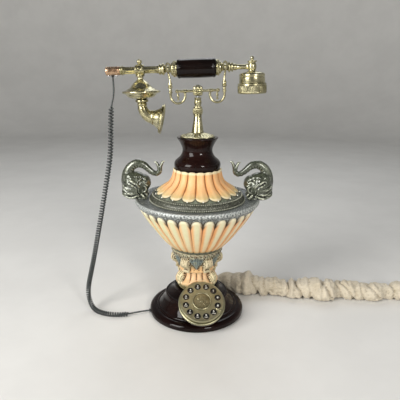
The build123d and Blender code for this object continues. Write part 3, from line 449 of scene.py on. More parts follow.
def lathe_arrays(profile, seg=96, mod=None, M=AXIS_Z, closed=False):
    """Turned surface about the frame's z. mod(r, z, th) may return new r and z arrays. Poles where r is 0."""
    P = np.asarray(profile, float)
    th = np.arange(seg) * 2 * PI / seg
    head = (not closed) and P[0, 0] < 1e-6
    tail = (not closed) and P[-1, 0] < 1e-6
    body = P[(1 if head else 0):(len(P) - 1 if tail else len(P))]
    R = np.repeat(body[:, :1], seg, 1)
    Z = np.repeat(body[:, 1:2], seg, 1)
    T = np.repeat(th[None, :], len(body), 0)
    if mod is not None:
        R, Z = mod(R, Z, T)
    V = np.stack([R * np.cos(T), R * np.sin(T), Z], -1).reshape(-1, 3)
    F = [tuple(f) for f in grid_faces(len(body), seg, wrap_n=closed)]
    if head:
        V = np.vstack([V, [[0, 0, P[0, 1]]]])
        k = len(V) - 1
        F += [(k, (j + 1) % seg, j) for j in range(seg)]
    if tail:
        V = np.vstack([V, [[0, 0, P[-1, 1]]]])
        k, b = len(V) - 1, (len(body) - 1) * seg
        F += [(k, b + j, b + (j + 1) % seg) for j in range(seg)]
    return put(V, M), F


def lathe(name, profile, mat, seg=96, mod=None, M=AXIS_Z, closed=False, sharp=38):
    V, F = lathe_arrays(profile, seg, mod, M, closed)
    return obj_from(name, V, F, mat, sharp=sharp)


def frames_along(P, closed=False):
    P = np.asarray(P, float)
    T = np.gradient(P, axis=0)
    T /= np.linalg.norm(T, axis=1)[:, None]
    ref = np.array([0, 0, 1.0]) if abs(T[0, 2]) < 0.9 else np.array([1.0, 0, 0])
    n = np.cross(T[0], ref)
    n /= np.linalg.norm(n)
    N = [n]
    for i in range(1, len(P)):
        v = N[-1] - T[i] * np.dot(N[-1], T[i])
        N.append(v / max(np.linalg.norm(v), 1e-9))
    N = np.array(N)
    return T, N, np.cross(T, N)


def tube_arrays(P, radius, seg=16, caps=True, squash=(1.0, 1.0), ring=None):
    """Round tube along points, radius one number or one a point, closed by domed ends."""
    P = np.asarray(P, float)
    rad = np.full(len(P), float(radius)) if np.isscalar(radius) else np.asarray(radius, float)
    T, N, B = frames_along(P)
    if caps:
        pre, post, rp, rq = [], [], [], []
        for a in (0.98, 0.8, 0.45):
            c = math.sqrt(1 - a * a)
            pre.append(P[0] - T[0] * rad[0] * a * 0.6)
            rp.append(rad[0] * c)
            post.insert(0, P[-1] + T[-1] * rad[-1] * a * 0.6)
            rq.insert(0, rad[-1] * c)
        P = np.vstack([pre, P, post])
        rad = np.concatenate([rp, rad, rq])
        T = np.vstack([T[:1]] * 3 + [T] + [T[-1:]] * 3)
        N = np.vstack([N[:1]] * 3 + [N] + [N[-1:]] * 3)
        B = np.vstack([B[:1]] * 3 + [B] + [B[-1:]] * 3)
    a = np.arange(seg) * 2 * PI / seg
    rr = rad[:, None] * np.ones(seg)[None, :]
    if ring is not None:
        rr = ring(rr, a)
    V = P[:, None, :] + rr[..., None] * (squash[0] * np.cos(a)[None, :, None] * N[:, None, :] + squash[1] * np.sin(a)[None, :, None] * B[:, None, :])
    V = V.reshape(-1, 3)
    F = [tuple(f) for f in grid_faces(len(P), seg)]
    V = np.vstack([V, P[:1], P[-1:]])
    k = len(V) - 2
    F += [(k, (j + 1) % seg, j) for j in range(seg)]
    b = (len(P) - 1) * seg
    F += [(k + 1, b + j, b + (j + 1) % seg) for j in range(seg)]
    return V, F


def ball_arrays(c, r, seg=16, rings=10, M=None):
    r = np.ones(3) * r
    V, F = [], []
    ph = np.linspace(0, PI, rings + 1)
    prof = np.stack([np.sin(ph), -np.cos(ph)], -1)
    prof[0, 0] = prof[-1, 0] = 0
    V, F = lathe_arrays(prof, seg)
    V = V * r
    if M is not None:
        V = V @ np.asarray(M)[:3, :3].T
    return V + np.asarray(c, float), F


def box_arrays(lo, hi):
    x0, y0, z0 = lo
    x1, y1, z1 = hi
    V = np.array([(x0, y0, z0), (x1, y0, z0), (x1, y1, z0), (x0, y1, z0), (x0, y0, z1), (x1, y0, z1), (x1, y1, z1), (x0, y1, z1)], float)
    F = [(0, 3, 2, 1), (4, 5, 6, 7), (0, 1, 5, 4), (1, 2, 6, 5), (2, 3, 7, 6), (3, 0, 4, 7)]
    return V, F


def merge(parts):
    Vs, Fs, base = [], [], 0
    for V, F in parts:
        Vs.append(np.asarray(V, float))
        Fs += [tuple(int(i) + base for i in f) for f in F]
        base += len(V)
    return np.vstack(Vs), Fs


def get_co(me):
    co = np.zeros(len(me.vertices) * 3, np.float64)
    me.vertices.foreach_get("co", co)
    return co.reshape(-1, 3)


def edge_array(me):
    e = np.zeros(len(me.edges) * 2, np.int64)
    me.edges.foreach_get("vertices", e)
    return e.reshape(-1, 2)


def smooth_co(co, E, times, f=0.5):
    deg = np.bincount(E.ravel(), minlength=len(co)).astype(float)
    deg[deg == 0] = 1
    for _ in range(times):
        s = np.zeros_like(co)
        for k in range(co.shape[1]):
            s[:, k] = np.bincount(E[:, 0], co[E[:, 1], k], len(co)) + np.bincount(E[:, 1], co[E[:, 0], k], len(co))
        co = co + f * (s / deg[:, None] - co)
    return co


def cavity(o, times=10, gain=1.0):
    """Ridge and hollow value for the finish: 0.5 is flat, 1 proud, 0 deep."""
    me = o.data
    co = get_co(me)
    E = edge_array(me)
    nv = np.zeros(len(co) * 3)
    me.vertices.foreach_get("normal", nv)
    nv = nv.reshape(-1, 3)
    h = ((co - smooth_co(co, E, times)) * nv).sum(1)
    s = np.percentile(np.abs(h), 92) + 1e-9
    c = np.clip(0.5 + 0.5 * gain * h / s, 0, 1)
    c = smooth_co(c[:, None], E, 1)[:, 0]
    at = me.attributes.get("Cav") or me.attributes.new("Cav", "FLOAT", "POINT")
    at.data.foreach_set("value", c.astype(np.float32))


def set_colors(o, C):
    me = o.data
    at = me.color_attributes.get("Col") or me.color_attributes.new("Col", "FLOAT_COLOR", "POINT")
    C = np.hstack([C, np.ones((len(C), 1))]).astype(np.float32)
    at.data.foreach_set("color", C.ravel())
    me.color_attributes.active_color = at


def remesh(name, parts, mat, voxel, smooth=2, colors=None, disp=None):
    """Joins closed parts into one skin by voxels. colors gives one colour a part."""
    V, F = merge(parts)
    tmp = obj_from(name + "_tmp", V, F, mat, fix=True, sharp=None)
    mod = tmp.modifiers.new("r", "REMESH")
    mod.mode = "VOXEL"
    mod.voxel_size = voxel * MM
    mod.use_smooth_shade = True
    dg = bpy.context.evaluated_depsgraph_get()
    me = bpy.data.meshes.new_from_object(tmp.evaluated_get(dg))
    bpy.data.objects.remove(tmp, do_unlink=True)
    me.name = name
    E = edge_array(me)
    co = get_co(me)
    if smooth:
        co = smooth_co(co, E, smooth)
    if disp is not None:
        me.vertices.foreach_set("co", co.ravel())
        me.update()
        nv = np.zeros(len(co) * 3)
        me.vertices.foreach_get("normal", nv)
        co = co + nv.reshape(-1, 3) * disp(co / MM)[:, None] * MM
    me.vertices.foreach_set("co", co.ravel())
    me.update()
    me.polygons.foreach_set("use_smooth", [True] * len(me.polygons))
    me.materials.clear()
    me.materials.append(mat)
    o = bpy.data.objects.new(name, me)
    scene.collection.objects.link(o)
    if colors is not None:
        src, col = [], []
        for (pv, _), c in zip(parts, colors):
            src.append(np.asarray(pv, float))
            col.append(np.repeat(np.asarray(c, float)[None, :], len(pv), 0))
        src, col = np.vstack(src) * MM, np.vstack(col)
        tree = kdtree.KDTree(len(src))
        for i, p in enumerate(src):
            tree.insert(p, i)
        tree.balance()
        idx = [tree.find(p)[1] for p in co]
        C = smooth_co(col[idx], E, 2)
        set_colors(o, C)
    return o


def smoothstep(a, b, x):
    t = np.clip((x - a) / (b - a), 0, 1)
    return t * t * (3 - 2 * t)


def pnoise(P, scale, seed=0.0, octaves=3):
    """Smooth noise at points, about -1 to 1."""
    off = Vector((seed * 7.3, seed * 3.1, seed * 5.7))
    return np.array([noise.fractal(Vector(p) * scale + off, 0.9, 2.1, octaves) for p in P])


# ------------------------------------------------------------------ frames
th = math.radians(-2.3)
CT, ST = math.cos(th), math.sin(th)
TILT = np.array([[CT, 0, ST, 0], [0, 1, 0, 0], [-ST, 0, CT, 359.3], [0, 0, 0, 1.0]])
yaw, elev = math.radians(2.3), math.radians(56.0)
DX = np.array([math.cos(yaw), math.sin(yaw), 0])
DN = np.array([math.sin(yaw) * math.cos(elev), -math.cos(yaw) * math.cos(elev), math.sin(elev)])
DY = np.cross(DN, DX)
DIAL = frame4((8.75, -62.0, 47.0), DX, DY, DN)
# turned about the handset's length, and about an upright standing at local x
HAND = TILT @ frame4((0, 0, 31.8), (0, 1, 0), (0, 0, 1), (1, 0, 0))


def upright(x, y=0.0, z=0.0):
    return TILT @ frame4((x, y, z), (1, 0, 0), (0, 1, 0), (0, 0, 1))


# ------------------------------------------------------------------ cords
TOP = [(-125.0, 0.0, 376.6), (-124.0, 0.0, 364.0), (-125.2, -0.6, 349.5)]
CURL = [
    (-129.4, -1.2, 334.0), (-131.4, -1.8, 302.0), (-133.2, -2.4, 262.0), (-142.0, -3.0, 218.0), (-151.4, -3.2, 172.0),
    (-161.6, -3.0, 125.0), (-170.8, -2.2, 84.0), (-178.4, -1.0, 54.0), (-182.6, -0.2, 34.8), (-181.6, -3.8, 20.4),
    (-175.6, -11.2, 9.2), (-166.2, -20.4, 4.6), (-151.0, -28.6, 4.6), (-133.0, -32.4, 4.6), (-118.6, -31.2, 4.6), (-107.0, -27.6, 4.6),
]
TAIL = [(-98.0, -24.4, 4.8), (-88.0, -21.6, 5.3), (-77.9, -18.84, 5.4)]
LINE = [
    (0.0, 80.6, 5.6), (0.4, 92.6, 5.8), (8.1, 102.4, 6.4), (21.6, 106.1, 7.0), (43.0, 96.0, 7.2), (68.0, 81.0, 7.2), (98.0, 67.0, 7.2),
    (138.0, 58.0, 7.2), (184.0, 52.0, 7.2), (230.0, 49.0, 7.2), (276.0, 46.4, 7.2), (322.0, 44.8, 7.2), (362.0, 45.0, 7.2), (387.0, 46.7, 7.4), (403.0, 47.8, 7.6), (414.6, 47.7, 7.6),
]
COVER = [
    (26.0, 103.1, 15.9), (43.0, 96.0, 15.9), (68.0, 81.0, 15.9), (98.0, 67.0, 15.9),
    (138.0, 58.0, 15.9), (184.0, 52.0, 15.9), (230.0, 49.0, 15.9), (276.0, 46.4, 15.9), (322.0, 44.8, 15.9), (362.0, 45.0, 15.9), (384.0, 46.4, 15.9),
]
COIL_X, COIL_Y = 436.0, 20.0


def nurbs(name, pts, bevel=0.0, res=12):
    cu = bpy.data.curves.new(name, "CURVE")
    cu.dimensions = "3D"
    sp = cu.splines.new("NURBS")
    sp.points.add(len(pts) - 1)
    for q, p in zip(sp.points, pts):
        q.co = (p[0] * MM, p[1] * MM, p[2] * MM, 1.0)
    sp.order_u = 3
    sp.use_endpoint_u = True
    sp.resolution_u = res
    cu.resolution_u = res
    cu.bevel_depth = bevel * MM
    cu.bevel_resolution = 5
    cu.use_fill_caps = bevel > 0
    o = bpy.data.objects.new(name, cu)
    scene.collection.objects.link(o)
    return o


def centreline(pts, res=24):
    o = nurbs("route_tmp", pts, 0.0, res)
    me = bpy.data.meshes.new_from_object(o)
    P = get_co(me) / MM
    bpy.data.objects.remove(o, do_unlink=True)
    return P


def by_length(P, s):
    d = np.concatenate([[0], np.cumsum(np.linalg.norm(np.diff(P, axis=0), axis=1))])
    return np.stack([np.interp(s, d, P[:, k]) for k in range(3)], -1), d[-1]


def handset_cord():
    route = centreline(TOP + CURL + TAIL)
    _, total = by_length(route, [0])
    s0 = 41.0
    s1 = total - 33.0
    step = 0.25
    S = np.arange(0, total, step)
    P, _ = by_length(route, S)
    T, N, B = frames_along(P)
    up = s0 + 5
    pitch = np.interp(S, [s0, s0 + 150, s0 + 290, s1 - 95, s1], [4.7, 4.5, 3.5, 3.7, 4.2])
    phase = np.cumsum(np.where((S > s0) & (S < s1), 2 * PI / pitch, 0.0)) * step
    R = 2.95 * smoothstep(s0, s0 + 5, S) * (1 - smoothstep(s1 - 5, s1, S))
    H = P + R[:, None] * (np.cos(phase)[:, None] * N + np.sin(phase)[:, None] * B)
    _, length = by_length(H, [0])
    k = int(min(3900, length / 0.62))
    pts, _ = by_length(H, np.linspace(0, length, k))
    pts[:, 2] = np.maximum(pts[:, 2], 1.45)
    V, F = tube_arrays(pts, 1.3, seg=9)
    o = obj_from("handset_cord", V, F, RUBBER, sharp=None, fix=False)
    return o, pts, length


cord_a, cord_a_pts, cord_a_len = handset_cord()


def coil_points():
    """Eight lays of 315 degrees each, clockwise from the top: the cord comes in at mid height and leaves on the table."""
    lays = [(27.75, 7.65), (32.7, 12.7), (27.6, 12.75), (22.7, 12.6), (22.6, 7.6), (22.7, 2.6), (27.75, 2.6), (32.9, 2.6)]
    pts = []
    per = 15
    steps = len(lays) * per
    for i in range(1, steps + 1):
        t = i / per
        k = min(int(t), len(lays) - 1)
        f = t - k
        r, z = lays[k]
        if f > 0.84 and k + 1 < len(lays):
            w = (f - 0.84) / 0.16
            w = w * w * (3 - 2 * w) * 0.5
            r, z = r + (lays[k + 1][0] - r) * w, z + (lays[k + 1][1] - z) * w
        elif f < 0.16 and k > 0:
            w = (0.16 - f) / 0.16
            w = w * w * (3 - 2 * w) * 0.5
            r, z = r + (lays[k - 1][0] - r) * w, z + (lays[k - 1][1] - z) * w
        r += 0.35 * math.sin(2.1 * i)
        a = math.radians(90 - 315 * t)
        pts.append((COIL_X + r * 1.012 * math.cos(a), COIL_Y + r * 1.012 * math.sin(a), z))
    return pts


line_pts = LINE + [(425.0, 47.4, 7.6)] + coil_points() + [(446.0, 52.9, 2.7), (456.0, 52.9, 3.2), (466.0, 52.9, 3.6)]
cord_b = nurbs("line_cord_laid", line_pts, 2.5, 8)
cord_b.data.materials.append(WHITE_CORD)
line_len = by_length(centreline(line_pts, 12), [0])[1]
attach(cord_b, "base")
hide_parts("line_cord", "line_cord_coil")
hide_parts("handset_cord_top", "handset_cord_curl", "handset_cord_tail")
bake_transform(cord_a)


def finish_piece(o, body, slot, *replaced):
    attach(o, body)
    if replaced:
        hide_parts(*replaced)
    return o


def outward(V, F):
    return V, F


# ------------------------------------------------------------------ line plug
def plug():
    x, y = COIL_X, COIL_Y + 32.9
    parts = []
    # moulded body with a chamfered nose, contact ribs and the latch tongue
    prof = [(26.0, 2.9), (27.2, 5.6), (28.0, 5.85), (43.6, 5.85), (44.0, 5.4), (47.0, 5.2)]
    rings = []
    for px, hw in prof:
        hz = 3.3 if px < 44 else 2.7
        if px < 27:
            hz = 2.6
        ring = [(x + px, y + sx * hw, 4.2 + sz * hz) for sx, sz in ((-1, -0.8), (-0.85, -1), (0.85, -1), (1, -0.8), (1, 0.8), (0.85, 1), (-0.85, 1), (-1, 0.8))]
        rings.append(ring)
    V = np.array(rings).reshape(-1, 3)
    F = [tuple(f) for f in grid_faces(len(rings), 8)]
    F += [tuple(range(7, -1, -1)), tuple(range(len(V) - 8, len(V)))]
    parts.append((V, F))
    parts.append(box_arrays((x + 36.0, y - 1.6, 7.5), (x + 46.0, y + 1.6, 8.3)))
    parts.append(box_arrays((x + 34.5, y - 1.6, 8.0), (x + 40.5, y + 1.6, 9.05)))
    o = obj_from("plug_body", *merge(parts), CLEAR, sharp=25)
    pins = merge([box_arrays((x + 41.0, y - 3.4 + 1.36 * i - 0.28, 3.2), (x + 46.6, y - 3.4 + 1.36 * i + 0.28, 1.15 + 0.2)) for i in range(6)])
    p = obj_from("plug_contacts", *pins, metal("contact_gold", lin(232, 196, 110), lin(214, 172, 88), lin(120, 90, 40), (0.2, 0.3)), sharp=25)
    # boot: tapered with ribs
    prof = [(0, 0)]
    for i in range(7):
        z = i * 1.35
        r = 2.72 + 0.05 * i
        prof += [(r, z), (r + 0.22, z + 0.3), (r + 0.22, z + 0.75), (r, z + 1.05)]
    prof.append((0, 9.6))
    M = frame4((x + 16.6, y, 3.6), (0, 1, 0), (0, 0, 1), (1, 0, 0))
    b = lathe("plug_boot", prof, WHITE_CORD, 40, M=M)
    for q in (o, p, b):
        finish_piece(q, "base", "clear_plug")
    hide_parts("line_plug")
    return [o, p, b]


plug_parts = plug()


# ------------------------------------------------------------------ base
def turned_base():
    out = [(0.0, 44.5), (33.0, 44.5), (36.0, 46.0)]
    up = spline([(36.0, 46.0), (37.6, 42.4), (41.0, 39.0), (44.6, 36.4), (48.5, 34.8)], 22)
    bead = spline([(48.5, 34.8), (50.1, 35.3), (51.4, 34.5), (51.9, 32.9), (51.5, 31.0)], 14)
    cove = spline([(51.5, 31.0), (53.4, 26.4), (56.6, 22.2), (59.6, 18.2), (62.5, 15.0)], 26)
    step = spline([(62.5, 15.0), (64.2, 15.0), (65.9, 14.0), (66.5, 12.4)], 10)
    lip = spline([(66.5, 12.4), (69.0, 12.5), (71.6, 12.2), (74.6, 11.0), (76.9, 9.0), (77.9, 6.6), (78.0, 4.6)], 30)
    base = [(78.0, 2.4), (77.5, 2.0), (73.9, 2.0), (73.9, 7.0), (62.0, 10.2), (0, 10.2)]
    prof = np.vstack([out[:-1], up, bead[1:], cove[1:], step[1:], lip[1:], base])
    o = lathe("base_body", prof, LACQUER, 180, sharp=50)
    # drum pod behind the dial
    P = [(0, -11.8), (27.4, -11.8), (28.0, -12.4), (28.0, -30.0), (0, -30.0)]
    V, F = lathe_arrays(dense(P, 2.0), 96, M=DIAL)
    V[:, 2] = np.maximum(V[:, 2], 3.0)
    pod = obj_from("dial_pod", V, F, LACQUER)
    finish_piece(o, "base", "dark_lacquer", "base_shell")
    finish_piece(pod, "base", "dark_lacquer")


turned_base()


# ------------------------------------------------------------------ dial
def dial():
    # lacquered drum, then the brass bezel, a dark step and the raised collar round the face
    prof = rounded([(3.9, -12.0), (35.7, -12.0), (36.1, -11.4), (36.1, -8.7), (30.9, -8.7), (30.9, -9.95), (3.9, -9.95), (3.9, -12.0)], 0.3, 3)[:-1]
    drum = lathe("dial_drum", dense(prof, 0.9, closed=True), LACQUER, 240, None, DIAL, closed=True)
    finish_piece(drum, "base", "dark_lacquer", "dial_housing")
    prof = rounded([(33.2, -9.0), (35.9, -9.0), (36.3, -8.5), (36.3, -6.4), (35.9, -5.6), (35.0, -5.2), (34.2, -5.5), (33.6, -6.2), (33.2, -6.4), (33.2, -9.0)], 0.3, 3)[:-1]

    def knurl(R, Z, T):
        on = (Z > -8.4) & (Z < -6.5) & (R > 36.1)
        return R + np.where(on, -0.3 * (0.5 + 0.5 * np.cos(T * 110)), 0), Z

    o = lathe("dial_bezel", dense(prof, 0.5, closed=True), DIAL_BRASS, 440, knurl, DIAL, closed=True)
    finish_piece(o, "base", "antique_brass")
    prof = rounded([(31.6, -8.7), (33.4, -8.7), (33.4, -3.6), (34.0, -3.0), (34.0, -1.0), (33.5, -0.1), (33.0, 0.45), (32.75, 0.1), (32.65, -2.5), (31.6, -2.5), (31.6, -8.7)], 0.2, 3)[:-1]
    o = lathe("dial_collar", dense(prof, 0.5, closed=True), DIAL_BRASS, 240, None, DIAL, closed=True)
    finish_piece(o, "base", "antique_brass")
    # raised rings of the face
    rings = []
    for rr, w, h in ((18.4, 0.4, 0.3), (16.7, 0.5, 0.45)):
        prof = [(rr - w, -0.1), (rr - w * 0.8, h * 0.7), (rr, h), (rr + w * 0.8, h * 0.7), (rr + w, -0.1)]
        rings.append(lathe_arrays(prof, 160, M=DIAL, closed=True))
    for k in range(12):
        a = math.radians(13.3 + 30 * k)
        c = (25.3 * math.cos(a), 25.3 * math.sin(a))
        M = DIAL @ frame4((c[0], c[1], 0), (1, 0, 0), (0, 1, 0), (0, 0, 1))
        prof = [(4.98, -0.6), (5.0, -0.02), (5.15, 0.14), (5.4, 0.12), (5.55, -0.1), (5.5, -0.6)]
        rings.append(lathe_arrays(prof, 48, M=M, closed=True))
    o = obj_from("dial_rings", *merge(rings), DIAL_BRASS, sharp=50)
    finish_piece(o, "base", "antique_brass")
    # centre medallion: beaded rim round a generic rosette
    rad = np.concatenate([np.linspace(0.0, 12.2, 46), [12.6, 12.75, 12.9, 13.2, 13.7, 14.2, 14.55, 14.7, 14.7]])
    hz = np.concatenate([np.full(46, 1.0), [1.0, 1.5, 1.8, 1.95, 2.0, 1.9, 1.55, 1.0, -0.1]])

    def rosette(R, Z, T):
        inner = R < 12.3
        pet = np.abs(np.cos(4 * T)) ** 0.8
        edge = 4.6 + 5.6 * pet
        h = 0.26 * (1 - smoothstep(edge - 1.3, edge, R)) * (0.35 + 0.65 * smoothstep(1.5, 6, R))
        h -= 0.18 * np.exp(-((np.abs(np.sin(4 * T)) * R / 2.2) ** 2)) * smoothstep(2.2, 4, R) * (R < 9)
        leaf = np.exp(-(((R - 10.2) / 1.2) ** 2)) * 0.18 * (0.5 + 0.5 * np.cos(16 * T + PI))
        boss = 0.4 * np.sqrt(np.clip(1 - (R / 2.4) ** 2, 0, 1))
        return R, Z + np.where(inner, h + leaf + boss, 0)

    P = np.stack([rad, hz], -1)
    P = np.vstack([P, [[0, -0.1]]])
    V, F = lathe_arrays(P, 192, rosette, DIAL)
    beads = [ball_arrays(put([(13.7 * math.cos(a), 13.7 * math.sin(a), 1.9)], DIAL)[0], 0.4, 8, 6) for a in np.arange(44) * 2 * PI / 44]
    o = obj_from("dial_centre_rosette", *merge([(V, F)] + beads), DIAL_RELIEF, sharp=None)
    cavity(o, 8, 1.2)
    finish_piece(o, "base", "antique_brass", "dial_medallion")
    # finger stop: a bent tongue with a rivet
    pts = spline([(33.2, 0, 0.2), (32.0, 0, 1.5), (29.0, 0, 2.2), (25.4, 0, 1.7), (23.6, 0, 0.9)], 24)
    c, s = math.cos(math.radians(-32.7)), math.sin(math.radians(-32.7))
    R = frame4((0, 0, 0), (c, s, 0), (-s, c, 0), (0, 0, 1))
    V, F = tube_arrays(put(pts, DIAL @ R), np.interp(np.linspace(0, 1, 24), [0, 0.3, 0.8, 1], [1.2, 1.05, 0.85, 0.65]), 14, squash=(1.0, 0.75))
    riv = ball_arrays(put([(31.8, 0, 2.1)], DIAL @ R)[0], 0.85, 12, 8)
    o = obj_from("finger_stop_hook", *merge([(V, F), riv]), BRASS, sharp=None)
    finish_piece(o, "base", "antique_brass", "finger_stop")


dial()

KEYS = ["star", "1", "2", "3", "4", "5", "6", "7", "8", "9", "0", "hash"]
LETTERS = {"2": "ABC", "3": "DEF", "4": "GHI", "5": "JKL", "6": "MNO", "7": "PRS", "8": "TUV", "9": "WXY", "0": "OPER"}


def text_mesh(body, size, x, y, depth=0.12):
    cu = bpy.data.curves.new("t", "FONT")
    cu.body = body
    cu.size = size
    cu.align_x = "CENTER"
    cu.align_y = "CENTER"
    cu.extrude = depth
    cu.resolution_u = 3
    cu.offset = 0.03
    o = bpy.data.objects.new("t", cu)
    scene.collection.objects.link(o)
    me = bpy.data.meshes.new_from_object(o)
    V = get_co(me)
    F = [tuple(p.vertices) for p in me.polygons]
    bpy.data.objects.remove(o, do_unlink=True)
    V = V + np.array([x, y, 0])
    return V, F


def keys():
    for k, name in enumerate(KEYS):
        a = math.radians(13.3 + 30 * k)
        M = DIAL @ frame4((25.3 * math.cos(a), 25.3 * math.sin(a), 0), (1, 0, 0), (0, 1, 0), (0, 0, 1))
        prof = [(0, -0.12), (2.2, -0.09), (3.4, 0.0), (4.0, 0.16), (4.35, 0.3), (4.62, 0.26), (4.78, 0.05), (4.85, -0.3), (4.85, -2.5), (5.7, -2.6), (5.7, -3.9), (2.0, -4.0), (2.0, -6.7), (0, -6.7)]
        o = lathe("button_" + name, dense(prof, 0.8), BLACK, 56, M=M, sharp=45)
        finish_piece(o, "key_" + name, "black_plastic", "key_" + name)
        parts = []
        z = 0.0
        if name in LETTERS:
            V, F = text_mesh(name, 4.6, 0, 1.25)
            parts.append((V + [0, 0, z], F))
            V, F = text_mesh(LETTERS[name], 2.1, 0, -1.9)
            parts.append((V + [0, 0, z], F))
        elif name == "star":
            V, F = text_mesh("*", 8.5, 0, -1.6)
            parts.append((V + [0, 0, z], F))
        elif name == "hash":
            V, F = text_mesh("#", 5.2, 0, 0)
            parts.append((V + [0, 0, z], F))
        else:
            V, F = text_mesh(name, 5.2, 0, 0)
            parts.append((V + [0, 0, z], F))
        V, F = merge(parts)
        ink = obj_from("mark_" + name, put(V, M), F, WHITE_INK, smooth=False, sharp=None)
        finish_piece(ink, "key_" + name, "cream_resin")


keys()


# ------------------------------------------------------------------ handset
def hand(name, prof, mat, seg=72, r=0.45, mod=None, body="handset", slot="antique_brass", replaced=(), step=None):
    """Turned about the handset's length: profile (local x, radius) from end to end."""
    P = rounded([(q[1], q[0]) for q in prof], r, 3)
    if step:
        P = dense(P, step)
    o = lathe(name, P, mat, seg, mod, HAND)
    return finish_piece(o, body, slot, *replaced)


def handset():
    # grip: lacquered cylinder with turned end beads
    hand("grip_body", [(-29.3, 4.6), (-29.3, 11.6), (-28.9, 12.6), (-27.9, 13.3), (-26.8, 13.75), (-25.4, 13.6), (-24.6, 13.05), (-23.6, 13.3), (-10, 13.55), (10, 13.55), (21.4, 13.3), (22.4, 13.05), (23.2, 13.6), (24.6, 13.75), (25.7, 13.3), (26.7, 12.6), (27.1, 11.6), (27.1, 4.6)], GRIP_MAT, 96, 0.5, slot="dark_lacquer", replaced=("grip",))
    for side, x0, x1, nm in ((-1, -29.3, -38.9, "left"), (1, 27.1, 35.4, "right")):
        s = side
        L = abs(x1 - x0)
        pr = [(x0, 4.6), (x0, 10.4), (x0 + s * 0.4, 11.3), (x0 + s * 1.0, 11.4), (x0 + s * 1.3, 10.9), (x0 + s * 1.8, 10.9), (x0 + s * 2.1, 11.4), (x0 + s * 0.55 * L, 11.3), (x0 + s * 0.62 * L, 10.2), (x0 + s * 0.68 * L, 9.5), (x0 + s * 0.8 * L, 9.3), (x0 + s * 0.88 * L, 8.4), (x0 + s * 0.94 * L, 7.2), (x1, 6.8), (x1, 4.6)]
        if s < 0:
            pr = pr[::-1]

        def flute(R, Z, T, x0=x0, s=s, L=L):
            lx = (Z - x0) * s
            on = (lx > 2.2) & (lx < 0.54 * L) & (R > 10.8)
            return R - np.where(on, 0.42 * (0.5 + 0.5 * np.cos(T * 28)), 0), Z

        hand("ferrule_" + nm, pr, BRASS, 224, 0.25, flute, replaced=("ferrules",), step=0.5)
    # long arm: collars then the six-sided tube
    neck = [(-0.2, 0), (-0.2, 4.5), (-38.9, 4.5), (-39.2, 5.0), (-39.9, 5.0), (-41.0, 4.2), (-42.7, 4.2), (-44.4, 4.2), (-45.6, 4.5), (-46.6, 5.4), (-47.6, 6.6), (-48.2, 7.6), (-48.9, 8.4), (-49.8, 8.7), (-50.7, 8.4), (-51.2, 7.5), (-51.7, 6.8), (-52.9, 6.8), (-53.5, 7.6), (-54.5, 7.9), (-55.3, 7.6), (-55.9, 6.4), (-56.6, 5.0), (-58.0, 0)]
    hand("long_arm_collars", neck[::-1], BRASS, 72, 0.35, replaced=("mouthpiece_arm",))
    # six-sided tube with broken corners and shallow sunk panels, flared a little at both ends
    xs = np.concatenate([np.linspace(-55.4, -58.5, 5), np.linspace(-59.5, -74.0, 9), np.linspace(-76.5, -92.0, 8), np.linspace(-94.0, -107.0, 9), [-108.0, -109.4]])
    n = 72
    an = np.arange(n) * 2 * PI / n
    ring = []
    for x in xs:
        k = np.abs(((an * 6 / (2 * PI)) % 1) - 0.5) * 2
        hexr = 4.94 / np.cos((((an + 0) % (PI / 3)) - PI / 6))
        flare = 0.55 * math.exp(-((x + 56.5) / 2.6) ** 2) + 0.5 * math.exp(-((x + 107.5) / 2.2) ** 2)
        sunk = 0.0
        if -74 <= x <= -60 or -106 <= x <= -94:
            sunk = 0.28
        rr = np.minimum(hexr, 5.55) + flare - sunk * (np.cos(6 * an - PI) * 0.5 + 0.5) ** 0.5 * 0.8
        ring.append(np.stack([rr * np.cos(an), rr * np.sin(an), np.full(n, x)], -1))
    V = put(np.array(ring).reshape(-1, 3), HAND)
    F = [tuple(f) for f in grid_faces(len(xs), n)]
    F += [tuple(range(n)), tuple(range(len(V) - 1, len(V) - n - 1, -1))]
    finish_piece(obj_from("long_arm_tube", V, F, BRASS, sharp=28), "handset", "antique_brass")
    hand("long_arm_end_rings", [(-112.7, 0), (-112.7, 5.2), (-112.4, 6.1), (-111.5, 6.3), (-110.8, 5.9), (-110.3, 5.2), (-109.9, 5.9), (-109.5, 6.9), (-108.9, 7.1), (-108.4, 6.7), (-108.1, 5.4), (-105.5, 5.2), (-105.2, 0)], BRASS, 72, 0.25)
    cap = [(-134.0, 0), (-134.0, 4.6), (-133.6, 5.4), (-132.9, 6.1), (-132.0, 6.3), (-131.4, 6.0), (-131.0, 6.0), (-130.6, 6.3), (-116.0, 6.3), (-115.5, 6.0), (-115.1, 6.0), (-114.6, 6.3), (-113.5, 6.2), (-112.8, 5.7), (-112.7, 0)]

    def reeds(R, Z, T):
        on = (Z > -130.2) & (Z < -116.4) & (R > 6.0)
        return R - np.where(on, 0.16 * (0.5 + 0.5 * np.cos(T * 12)), 0), Z

    hand("copper_end_cap", cap, COPPER, 96, 0.25, reeds, slot="copper", replaced=("end_cap",), step=0.9)
    gl = upright(-124.2)
    bush = [(0, 22.9), (1.5, 22.9), (1.9, 23.2), (2.1, 23.8), (1.8, 24.3), (1.8, 24.7), (2.3, 25.2), (2.3, 27.2), (0, 27.2)]
    finish_piece(lathe("cord_bush", rounded(bush, 0.2), BLACK, 32, M=gl), "handset", "black_plastic")
    scr = []
    for x in (-129.6, -118.8):
        scr.append(lathe_arrays(rounded([(0, 23.9), (1.3, 23.8), (1.75, 24.2), (1.75, 24.9), (1.3, 25.2), (1.3, 27.0), (0, 27.0)], 0.15), 24, M=upright(x)))
    finish_piece(obj_from("cap_screws", *merge(scr), STEEL), "handset", "plated_steel")
